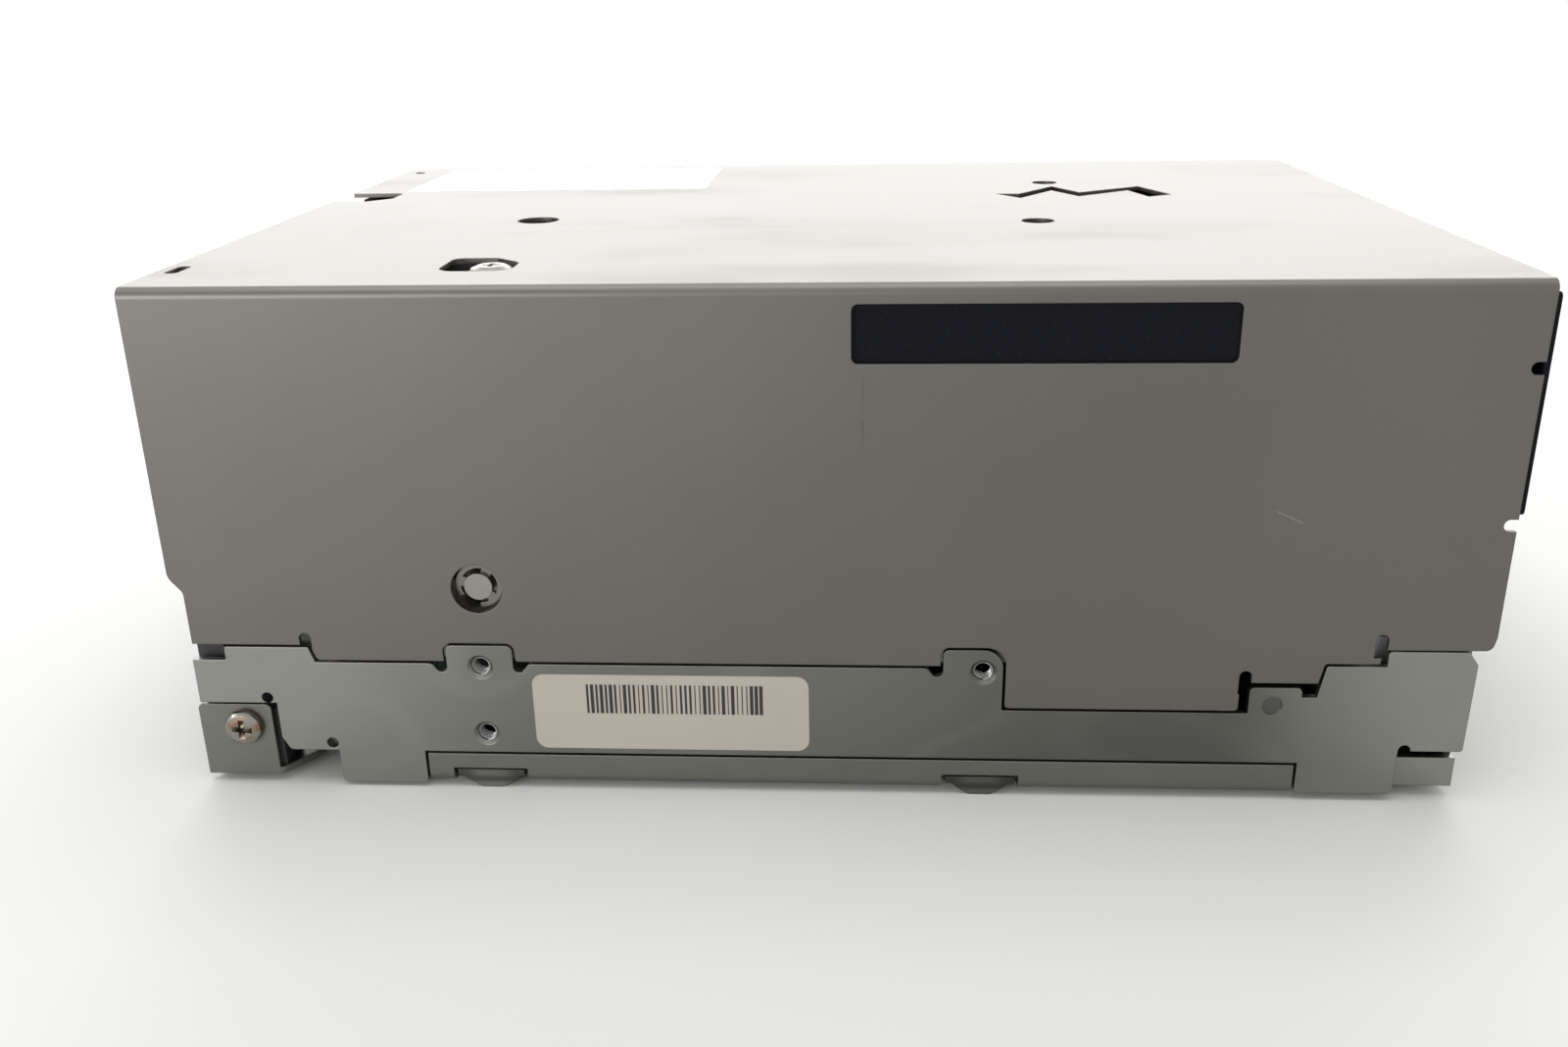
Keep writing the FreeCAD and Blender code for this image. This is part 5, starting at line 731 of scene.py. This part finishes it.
class TAPEDRIVE_OT_case(bpy.types.Operator):
    """Finish the folded case, its brackets and its insulating films."""

    bl_idname = "tapedrive.case"
    bl_label = "Case"

    def execute(self, context):
        tints = context.scene.drive_colours
        dress(sheet_steel("cover_sheet", tints.cover, marks_and_light=cover_marks), "top_cover")
        # the wave also sets how strong the painted sheen bands are
        chassis = sheet_steel("chassis_sheet", tints.chassis, wave_and_sheen=0.12)
        dress(chassis, "bottom_cover", "front_bracket_right", "front_bracket_left", "rear_panel")
        # the base chassis carries painted highlights, painted shade and stronger painted sheen
        boss_sheet = sheet_steel("boss_sheet", tints.chassis, marks_and_light=painted_chassis_light, wave_and_sheen=0.4)
        dress(boss_sheet, "base_chassis")
        sheet = put("base_sheet", self.base_sheet(boss_sheet))
        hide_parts("base_chassis")
        film = glossy_film("black_film", tints.film)
        dress(film, "window_insulator", "rear_insulator")
        return {"FINISHED"}

    def base_sheet(self, finish):
        """The base chassis with the slot and the round bend relief over each tail."""
        bm = bmesh.new()
        inside, outside = HALF - 4.2, HALF - 1.4
        front, back = 191.35, 202.0
        low, high = 7.0, 8.1
        radius = 0.95 * MM
        for s in (1, -1):
            left, right = sorted((s * inside, s * outside))
            add_box(bm, at(left, front, low), at(right, back, high))
            turn = Matrix.Translation(at(s * (HALF - 1.2), 192.0, 9.1)) @ Matrix.Rotation(math.pi / 2, 4, "Y")
            bmesh.ops.create_cone(bm, cap_ends=True, segments=24, radius1=radius, radius2=radius,
                                  depth=4.0 * MM, matrix=turn)
        whole = bpy.data.objects.new("base_sheet", closed_copy("base_chassis"))
        cutter = bpy.data.objects.new("relief_cutter", made_mesh(bm, "relief_cutter"))
        mesh = cut_away(whole, cutter)
        mesh.materials.clear()
        mesh.materials.append(finish.material)
        mesh.shade_flat()
        return mesh


class Screws(NamedTuple):
    """Screws of one kind: the CAD nodes that they stand for, their spots, and sizes in millimetres."""

    name: str
    nodes: tuple
    spots: list
    head: float     # radius of the head
    rise: float     # height of the head
    shank: float    # radius of the shank
    reach: float    # length of the shank
    turns: int      # thread turns on the shank

    def pattern(self):
        """One screw of this kind."""
        return screw_pattern(self.name, self.head, self.rise, self.shank, self.reach, self.turns)


class TAPEDRIVE_OT_screws(bpy.types.Operator):
    """Make the cross-recessed screws and finish the standoffs."""

    bl_idname = "tapedrive.screws"
    bl_label = "Screws"

    def execute(self, context):
        tints = context.scene.drive_colours
        zinc = zinc_plate("screw_zinc", tints.zinc, tints.yellow_zinc)
        dress(zinc, "standoffs")
        deck = HALF - 3.5
        up, down = (0, 0, 1), (0, 0, -1)
        sides = (1, -1)
        loader_top, bridge_top = 78.0, 67.2
        bracket = [(at(s * (HALF - 0.9), 7.1, 10.4), (s, 0, 0)) for s in sides]
        ledge = [(at(s * (HALF - 6.5), 18.6, 6.6), down) for s in sides]
        under = [(at(s * (HALF - 13.0), y, 1.0), down) for s in sides for y in (70.0, 160.0)]
        loader = [(at(x, y, loader_top), up) for x, y in ((54.3, 76.0), (-46.3, 50.0), (-46.3, 76.0))]
        bridge = [(at(x, y, bridge_top), up) for x, y in ((2.5 - deck, 112.0), (deck - 5.5, 113.0),
                                                          (3.5 - deck, 196.0), (deck - 3.0, 195.0))]
        board = [(at(s * (HALF - 18.0), y, 10.0), up) for s in sides for y in (40.0, 182.0)]
        shoulder = [(at(s * (deck - 3.9), y, 28.5), up) for s in sides for y in (30.0, 180.0)]
        kinds = (Screws("bracket_screw_heads", ("bracket_screws",), bracket, 3.1, 1.6, 1.45, 5.5, 9),
                 Screws("ledge_screw_heads", (), ledge, 1.5, 4.0, 1.0, 3.2, 5),
                 Screws("underside_screw_heads", ("underside_screws",), under, 2.6, 0.6, 1.4, 3.6, 6),
                 Screws("loader_screw_heads", (), loader, 2.7, 1.8, 1.25, 3.0, 5),
                 Screws("bridge_screw_heads", (), bridge, 2.7, 1.8, 1.15, 7.0, 13),
                 Screws("board_screw_heads", ("pan_screws",), board, 2.7, 1.8, 1.25, 5.0, 9),
                 Screws("shoulder_screws", ("deck_screws",), shoulder, 4.2, 2.0, 2.0, 8.7, 16))
        for seed, kind in enumerate(kinds, 7):
            piece = set_out(kind.name, kind.pattern(), kind.spots, zinc, "plated_screws", math.tau, seed)
            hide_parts(*kind.nodes)
        tall = Screws("tall_screw_head", (), [(at(54.3, 50.0, loader_top), up)], 4.1, 4.2, 1.25, 3.0, 5)
        bright = pressed_zinc("tall_screw_zinc", tints.zinc)
        set_out(tall.name, tall.pattern(), tall.spots, bright, "plated_screws")
        return {"FINISHED"}


class TAPEDRIVE_OT_threads(bpy.types.Operator):
    """Fit the thread turns in the mounting holes."""

    bl_idname = "tapedrive.threads"
    bl_label = "Mounting threads"

    def execute(self, context):
        sizes = context.scene.thread_sizes
        steel = turned_metal("thread_steel", context.scene.drive_colours.ground, 0.24)
        tree = Growth("mounting_threads", Pitch=sizes.pitch, Bore=sizes.bore, Root=sizes.root, Turns=sizes.turns)
        given = tree.given
        depth = given["Root"] - given["Bore"]
        middle = given["Root"] - depth * 0.4
        values = {"Resolution": 24, "Rotations": given["Turns"], "Start Radius": middle, "End Radius": middle,
                  "Height": given["Pitch"] * given["Turns"]}
        spiral = tree.node("GeometryNodeCurveSpiral", values)[0]
        ridge = tree.node("GeometryNodeCurvePrimitiveCircle", {"Resolution": 4, "Radius": depth * 0.62})[0]
        values = {"Curve": spiral, "Profile Curve": ridge, "Fill Caps": True}
        thread = tree.node("GeometryNodeCurveToMesh", values)[0]
        tree.end(tree.copies(given["Geometry"], thread, Rotation=tree.facing()), steel)
        first, second = HOLE_YS
        low, high = HOLE_ZS
        side_holes = ((first, low), (first, high), (second, high))
        in_side, in_foot = HALF - 3.1, HALF - 3.175
        spots = [(at(s * in_side, y, z), (s, 0, 0)) for s in (1, -1) for y, z in side_holes]
        spots += [(at(s * in_foot, y, 0.3), (0, 0, 1)) for s in (1, -1) for y in HOLE_YS]
        tree.grow("mounting_threads", points("thread_spots", *zip(*spots)), "chassis_steel")
        return {"FINISHED"}


class TAPEDRIVE_OT_mouldings(bpy.types.Operator):
    """Finish the front panel, door, button and bushes."""

    bl_idname = "tapedrive.mouldings"
    bl_label = "Mouldings and rubber"

    def execute(self, context):
        tints = context.scene.drive_colours
        black = moulding("black_moulding", tints.black)
        dress(black, "front_panel", "cartridge_door")
        dress(moulding("button_moulding", tints.button, 0.42), "eject_button")
        dress(rubber("bush_rubber_finish"), "deck_bushes")
        return {"FINISHED"}


class TAPEDRIVE_OT_display(bpy.types.Operator):
    """Fit the smoked window and the unlit plain digit behind it."""

    bl_idname = "tapedrive.display"
    bl_label = "Display"

    def execute(self, context):
        tints = context.scene.drive_colours
        middle, height = 11.0 - HALF, 52.0
        window = (middle - 4.8, height - 6.8, middle + 4.8, height + 6.8, 0.8)
        outline = rounded_outline(*(size * MM for size in window))
        place = Matrix(((1, 0, 0, 0), (0, 0, -1, at(0, 1.45, 0).y), (0, 1, 0, 0), (0, 0, 0, 1)))
        smoke = glossy_film("smoked_window", tints.film)
        add_piece(slab("display_window", outline, place, 0.75 * MM, 0.2 * MM), smoke)
        across, upright = (1.9, 0.45), (0.45, 1.6)
        segments = [(0, v, across) for v in (4.4, 0, -4.4)]
        segments += [(u, v, upright) for v in (2.2, -2.2) for u in (-2.5, 2.5)]
        face, rear = 0.68, 0.72
        bars = []
        for u, v, (half_u, half_v) in segments:
            u, v = middle + u, height + v
            bars.append((at(u - half_u, face, v - half_v), at(u + half_u, rear, v + half_v)))
        digit = moulding("unlit_segment", (0.050, 0.020, 0.018), 0.3, 0.1)
        add_piece(box_mesh("display_digit", bars), digit)
        return {"FINISHED"}


class TAPEDRIVE_OT_connectors(bpy.types.Operator):
    """Finish the rear connectors and fit their contacts."""

    bl_idname = "tapedrive.connectors"
    bl_label = "Rear connectors"

    def execute(self, context):
        tints = context.scene.drive_colours
        sizes = context.scene.contact_sizes
        white = moulding("connector_white", tints.acetal, 0.42, 0.3)
        black = moulding("connector_black", tints.black, 0.40, 0.3)
        dress(white, "power_connector")
        dress(black, "data_connector", "service_connector")
        tin = turned_metal("contact_tin", tints.ground, 0.18)
        gold = turned_metal("contact_gold", tints.brass, 0.16)
        back = (0, 1, 0)
        power_x, service_x, data_x = 46.0, 14.0, -20.0
        pin = ((0, 0), (1.075, 0), (1.075, 5.0), (0.9, 5.45), (0.5, 5.75), (0, 5.85))
        spots = [(at(power_x + (i - 1.5) * POWER_PITCH, 191.35, 14.0), back) for i in range(4)]
        set_out("power_pins", lathe("power_pin", pin, 24), spots, tin, "plated_screws")
        post = ((0, 0), (0.36, 0), (0.36, 6.0), (0.15, 6.5), (0, 6.5))
        spots = [(at(service_x + (i - 2) * SERVICE_PITCH, 191.4, z), back) for i in range(5) for z in (12.3, 14.3)]
        set_out("service_pins", lathe("service_post", post, 4), spots, gold, "gear_brass")
        tree = Growth("data_contacts", Count=sizes.count, Pitch=sizes.pitch, Width=sizes.width, Length=sizes.reach)
        given = tree.given
        blade = tree.block(given["Width"], given["Length"], 0.10 * MM)
        row = tree.copies(tree.row(given["Count"], given["Pitch"]), blade)
        tree.end(tree.copies(given["Geometry"], row), gold)
        start = data_x - (sizes.count - 1) / 2 * sizes.pitch / MM
        places = [at(start, 194.3, z) for z in (14.32, 13.08)]
        tree.grow("data_contacts", points("contact_rows", places), "gear_brass")
        return {"FINISHED"}


# packages as x, y, width and depth, and free places as x1, x2, y1 and y2, in millimetres on the main board
PACKAGES = ((-30, 70, 27, 27), (10, 66, 20, 20), (34, 60, 11, 18), (34, 84, 11, 18), (-32, 118, 18, 18),
            (6, 108, 14, 20), (-36, 160, 14, 14), (20, 150, 16, 16))
FREE_PLACES = ((-46, 40, 34, 48), (-46, 50, 90, 96), (-20, -4, 100, 140), (18, 50, 100, 136), (-46, 8, 136, 148),
               (-24, 8, 150, 176), (32, 54, 140, 184), (-50, 54, 178, 186))
LEAD_LEGS = (((0, -0.17, 0.55), (0.35, 0.17, 0.67)), ((0.33, -0.17, 0.03), (0.45, 0.17, 0.66)),
             ((0.43, -0.17, 0.02), (0.95, 0.17, 0.13)))
LEAD_INSET = 1.6                # from a package's corner to its first lead
TWO_SIDED = 12                  # packages no wider than this have leads on two sides


class TAPEDRIVE_OT_boards(bpy.types.Operator):
    """Finish the boards and packages, and set the leads and small parts on the main board."""

    bl_idname = "tapedrive.boards"
    bl_label = "Circuit boards"

    def execute(self, context):
        tints = context.scene.drive_colours
        sizes = context.scene.board_sizes
        dress(solder_mask("board_mask", tints.mask), "main_board", "panel_board")
        epoxy_finish = epoxy("package_epoxy")
        dress(epoxy_finish, "board_chips")
        tin = turned_metal("lead_tin", tints.ground, 0.22)
        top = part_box("main_board")[1].z / MM
        self.leads(sizes, tin, top)
        self.small_parts(sizes, tin, epoxy_finish, top)
        return {"FINISHED"}

    def leads(self, sizes, tin, top):
        """Gull-wing leads that follow the outline of each package."""
        tree = Growth("package_leads", Pitch=sizes.lead)
        line = tree.node("GeometryNodeMeshToCurve", {0: tree.given["Geometry"]})[0]
        values = {"Curve": line, "Length": tree.given["Pitch"]}
        stops = tree.node("GeometryNodeResampleCurve", values, mode="LENGTH")[0]
        lead = box_mesh("lead", [[Vector(corner) * MM for corner in leg] for leg in LEAD_LEGS])
        part = bpy.data.objects.new("lead_pattern", lead)
        along = tree.node("GeometryNodeInputTangent")[0]
        out = tree.node("ShaderNodeVectorMath", {0: along, 1: (0, 0, 1)}, operation="CROSS_PRODUCT")[0]
        turned = tree.node("FunctionNodeAlignRotationToVector", {"Vector": out}, axis="X", pivot_axis="Z")[0]
        tree.end(tree.copies(stops, tree.pattern(part), Rotation=turned), tin)
        corners = []
        for x, y, width, depth in PACKAGES:
            right, back = width / 2, depth / 2
            in_x, in_y = right - LEAD_INSET, back - LEAD_INSET
            sides = [(-in_x, -back, in_x, -back), (in_x, back, -in_x, back)]
            if width > TWO_SIDED:
                sides += [(right, -in_y, right, in_y), (-right, in_y, -right, -in_y)]
            for u1, v1, u2, v2 in sides:
                corners += [tuple(at(x + u1, y + v1, top)), tuple(at(x + u2, y + v2, top))]
        seed = bpy.data.meshes.new("package_outlines")
        seed.from_pydata(corners, [(i, i + 1) for i in range(0, len(corners), 2)], [])
        tree.grow("package_leads", seed, "plated_screws")
        bpy.data.objects.remove(part)

    def small_parts(self, sizes, tin, body_finish, top):
        """Resistors and capacitors scattered on the free places of the board."""
        tree = Growth("small_parts", Spacing=sizes.spacing, Length=sizes.part, Seed=sizes.seed)
        given = tree.given
        length = given["Length"]
        values = {"Mesh": given["Geometry"], "Distance Min": given["Spacing"], "Density Max": 400000.0,
                  "Seed": given["Seed"]}
        spots = tree.node("GeometryNodeDistributePointsOnFaces", values, distribute_method="POISSON")[0]
        wide, high = length * 0.62, length * 0.36
        body = tree.coated(tree.block(length * 0.7, wide * 0.96, high), body_finish)
        cap = tree.coated(tree.block(length * 0.2, wide, high * 1.08), tin)
        caps = tree.copies(tree.row(2, length * 0.82, length * -0.41), cap)
        whole = tree.node("GeometryNodeJoinGeometry")
        for branch in (body, caps):
            tree.tree.links.new(branch.socket, whole.node.inputs[0])
        values = {"Max": 3, "Seed": given["Seed"] + 1.0}
        quarter = tree.node("FunctionNodeRandomValue", values, data_type="INT")[2]
        angle = tree.vector(0.0, 0.0, quarter * (math.pi / 2))
        tree.end(tree.copies(spots, whole[0], Rotation=angle))
        corners = []
        for x1, x2, y1, y2 in FREE_PLACES:
            corners += [tuple(at(x, y, top + 0.36)) for x, y in ((x1, y1), (x2, y1), (x2, y2), (x1, y2))]
        seed = bpy.data.meshes.new("free_places")
        seed.from_pydata(corners, [], [tuple(range(i, i + 4)) for i in range(0, len(corners), 4)])
        tree.grow("small_parts", seed, "chip_black")


class TAPEDRIVE_OT_mechanism(bpy.types.Operator):
    """Finish the deck, reels, tape path, head, threader and loader."""

    bl_idname = "tapedrive.mechanism"
    bl_label = "Mechanism"

    def execute(self, context):
        tints = context.scene.drive_colours
        for finish, nodes in (
            (cast_alloy("deck_casting", tints.cast), "deck head_base head_carriage"),
            (pressed_zinc("motor_shell", tints.can),
             "supply_motor takeup_motor head_motor threader_motor loader_motor"),
            (pressed_zinc("loader_sheet", tints.can),
             "cartridge_tray tray_slider loader_side_right loader_side_left loader_top threader_bridge"),
            (turned_metal("ground_steel_finish", tints.ground, 0.16),
             "roller_pins guide_shafts lead_screw arm_pivot tray_pins door_pin door_spring "
             "guide_roller_1 guide_roller_2 guide_roller_3 guide_roller_4"),
            (turned_metal("turned_brass", tints.brass, 0.22), "loader_worm stub_bush"),
            (turned_metal("clip_steel", tints.clip, 0.22), "stub_clip"),
            (moulding("reel_moulding", tints.reel, 0.40, 0.35), "takeup_hub takeup_flange supply_hub"),
            (moulding("acetal", tints.acetal, 0.38, 0.25), "threader_arm leader_block threader_pinion"),
            (stub_finish(tints), "loader_gear"),
            (ceramic("head_ceramic_finish"), "head_block"),
            (turned_metal("coil", tints.copper, 0.30), "fine_actuator"),
        ):
            dress(finish, *nodes.split())
        return {"FINISHED"}


class TAPEDRIVE_OT_labels(bpy.types.Operator):
    """Stick the side label with its strip of plain bars and the blank label on top."""

    bl_idname = "tapedrive.labels"
    bl_label = "Labels"

    def execute(self, context):
        tints = context.scene.drive_colours
        sizes = context.scene.label_sizes
        paper = label_paper("label_stock", tints.label)
        side_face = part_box("base_chassis")[1].x
        start = REFERENCE_Y + sizes.front
        outline = rounded_outline(start, sizes.low, start + sizes.width, sizes.low + sizes.height, sizes.corner)
        place = Matrix(((0, 0, 1, side_face), (1, 0, 0, 0), (0, 1, 0, 0), (0, 0, 0, 1)))
        mesh = slab("side_label", outline, place, sizes.thickness, sizes.thickness * 0.4)
        add_piece(mesh, paper)
        left_front, right_back = at(-69.5, 9.5, 0), at(-31.0, 74.0, 0)
        top = rounded_outline(*left_front.xy, *right_back.xy, 1.5 * MM)
        mesh = slab("top_label", top, Matrix.Translation((0, 0, TOP_Z - 0.03 * MM)), 0.07 * MM, 0.02 * MM)
        add_piece(mesh, label_paper("top_label_stock", tints.top_label))
        ink = print_ink("bar_ink", tints.ink)
        tree = Growth("label_bars", Count=sizes.bars, Span=sizes.bar_span, Height=sizes.bar_height, Ink=sizes.ink,
                      Seed=sizes.seed)
        given = tree.given
        pitch = given["Span"] / given["Count"]
        line = tree.node("GeometryNodeMeshLine", {"Count": given["Count"], "Offset": tree.vector(0.0, pitch)})[0]
        three_widths = tree.chance(2.999, given["Seed"]).math("FLOOR") * 0.25 + 0.24
        size = tree.vector(given["Ink"], pitch * three_widths, given["Height"])
        bars = tree.copies(line, tree.block(1.0, 1.0, 1.0), Scale=size)
        tree.end(tree.copies(given["Geometry"], bars), ink)
        corner = Vector((side_face + sizes.thickness, start + sizes.bar_start, sizes.low + sizes.bar_low))
        tree.grow("label_bars", points("bar_start", [corner]), "black_plastic")
        return {"FINISHED"}


WHITE = (1, 1, 1, 1)
# each soft lamp's name, place, aim, size, power in watts and colour
LAMPS = (
    ("back_softbox", (-1.05, 0.02, 0.52), (0, 0, 0.06), (2.0, 0.5), 12.0, (1.0, 0.995, 0.98)),
    ("overhead", (0.0, -0.1, 1.2), (0, 0, 0), (1.1, 1.1), 8.0, WHITE[:3]),
    ("front_fill", (0.95, -0.70, 0.24), (0, 0, 0.05), (0.9, 0.35), 6.0, WHITE[:3]),
)
LENS = 32.27                    # on a sensor 36 mm wide
CAMERA_PLACE = (
    (-0.0584, -0.3539, 0.9335, 0.27008),
    (0.9981, -0.0040, 0.0610, 0.00748),
    (-0.0179, 0.9353, 0.3535, 0.12106),
    (0, 0, 0, 1),
)


def seen_rays(maker):
    """1 for rays that show the background: to the camera, in metal and through glass."""
    path = maker.node("ShaderNodeLightPath")
    seen = path["Is Camera Ray"]
    for kind in ("Is Glossy Ray", "Is Transmission Ray"):
        seen = seen.math("MAXIMUM", path[kind])
    return seen


def floor_paper():
    """Pale paper that runs out into the white of the background."""
    finish = Finish("floor_paper", Roughness=0.9, Base_Color=(0.82, 0.82, 0.81, 1))
    distance = finish.node("ShaderNodeVectorMath", {0: finish.place}, operation="LENGTH")["Value"]
    near, far = 0.28, 0.75
    away = distance.step(near, far)
    white = finish.node("ShaderNodeEmission", {0: WHITE, 1: 1.0})[0]
    paper = Field(finish, finish.shader.outputs[0])
    both = finish.node("ShaderNodeMixShader", {0: away * seen_rays(finish), 1: paper, 2: white})[0]
    finish.tree.links.new(both.socket, finish.tree.nodes["Material Output"].inputs[0])
    return finish


class TAPEDRIVE_OT_stage(bpy.types.Operator):
    """Lay the pale floor, hang the soft lamps and set the camera."""

    bl_idname = "tapedrive.stage"
    bl_label = "Stage"

    def execute(self, context):
        scene = context.scene
        bm = bmesh.new()
        bmesh.ops.create_grid(bm, x_segments=1, y_segments=1, size=30.0)
        floor = bpy.data.objects.new("floor", made_mesh(bm, "floor"))
        floor.data.materials.append(floor_paper().material)
        scene.collection.objects.link(floor)
        self.surroundings(scene)
        for name, spot, aim, size, power, shade in LAMPS:
            data = bpy.data.lights.new(name, "AREA")
            data.shape = "RECTANGLE"
            data.size, data.size_y = size
            data.energy, data.color = power, shade
            lamp = bpy.data.objects.new(name, data)
            lamp.visible_camera = False
            turn = (Vector(spot) - Vector(aim)).to_track_quat("Z", "Y").to_matrix()
            lamp.matrix_world = Matrix.Translation(spot) @ turn.to_4x4()
            scene.collection.objects.link(lamp)
        data = bpy.data.cameras.new("camera")
        data.lens, data.sensor_width, data.sensor_fit, data.clip_start = LENS, 36.0, "HORIZONTAL", 0.01
        camera = bpy.data.objects.new("camera", data)
        scene.collection.objects.link(camera)
        camera.matrix_world = Matrix(CAMERA_PLACE)
        scene.camera = camera
        scene.view_settings.view_transform = "Standard"
        return {"FINISHED"}

    def surroundings(self, scene):
        """A world that lights softly and shows as plain white."""
        world = bpy.data.worlds.new("studio")
        world.use_nodes = True
        sky = Maker()
        sky.tree = world.node_tree
        sky.tree.nodes.clear()
        light, shown = (sky.node("ShaderNodeBackground", {0: WHITE, 1: power})[0] for power in (0.50, 1.0))
        both = sky.node("ShaderNodeMixShader", {0: seen_rays(sky), 1: light, 2: shown})[0]
        sky.node("ShaderNodeOutputWorld", {0: both})
        scene.world = world


# ---------------------------------------------------------------- panel and registration

GROUPS = (
    ("drive_colours", DriveColours),
    ("label_sizes", LabelSizes),
    ("thread_sizes", ThreadSizes),
    ("contact_sizes", ContactSizes),
    ("board_sizes", BoardSizes),
)
STEPS = (
    TAPEDRIVE_OT_case,
    TAPEDRIVE_OT_screws,
    TAPEDRIVE_OT_threads,
    TAPEDRIVE_OT_mouldings,
    TAPEDRIVE_OT_display,
    TAPEDRIVE_OT_connectors,
    TAPEDRIVE_OT_boards,
    TAPEDRIVE_OT_mechanism,
    TAPEDRIVE_OT_labels,
    TAPEDRIVE_OT_stage,
)


class TAPEDRIVE_PT_panel(bpy.types.Panel):
    """Sizes, colours and steps of the tape drive."""

    bl_idname = "TAPEDRIVE_PT_panel"
    bl_label = "Tape drive"
    bl_space_type = "VIEW_3D"
    bl_region_type = "UI"
    bl_category = "Tape drive"

    def draw(self, context):
        for step in STEPS:
            self.layout.operator(step.bl_idname)
        for name, kind in GROUPS:
            box = self.layout.box()
            for key in kind.__annotations__:
                box.prop(getattr(context.scene, name), key)


def register():
    for name, kind in GROUPS:
        bpy.utils.register_class(kind)
        setattr(bpy.types.Scene, name, bpy.props.PointerProperty(type=kind))
    for made in (*STEPS, TAPEDRIVE_PT_panel):
        bpy.utils.register_class(made)


def unregister():
    for made in reversed((*STEPS, TAPEDRIVE_PT_panel)):
        bpy.utils.unregister_class(made)
    for name, kind in reversed(GROUPS):
        delattr(bpy.types.Scene, name)
        bpy.utils.unregister_class(kind)


def main():
    register()
    bpy.ops.tapedrive.case()
    bpy.ops.tapedrive.screws()
    bpy.ops.tapedrive.threads()
    bpy.ops.tapedrive.mouldings()
    bpy.ops.tapedrive.display()
    bpy.ops.tapedrive.connectors()
    bpy.ops.tapedrive.boards()
    bpy.ops.tapedrive.mechanism()
    bpy.ops.tapedrive.labels()
    bpy.ops.tapedrive.stage()
    bpy.context.view_layer.update()


if __name__ == "__main__":
    main()
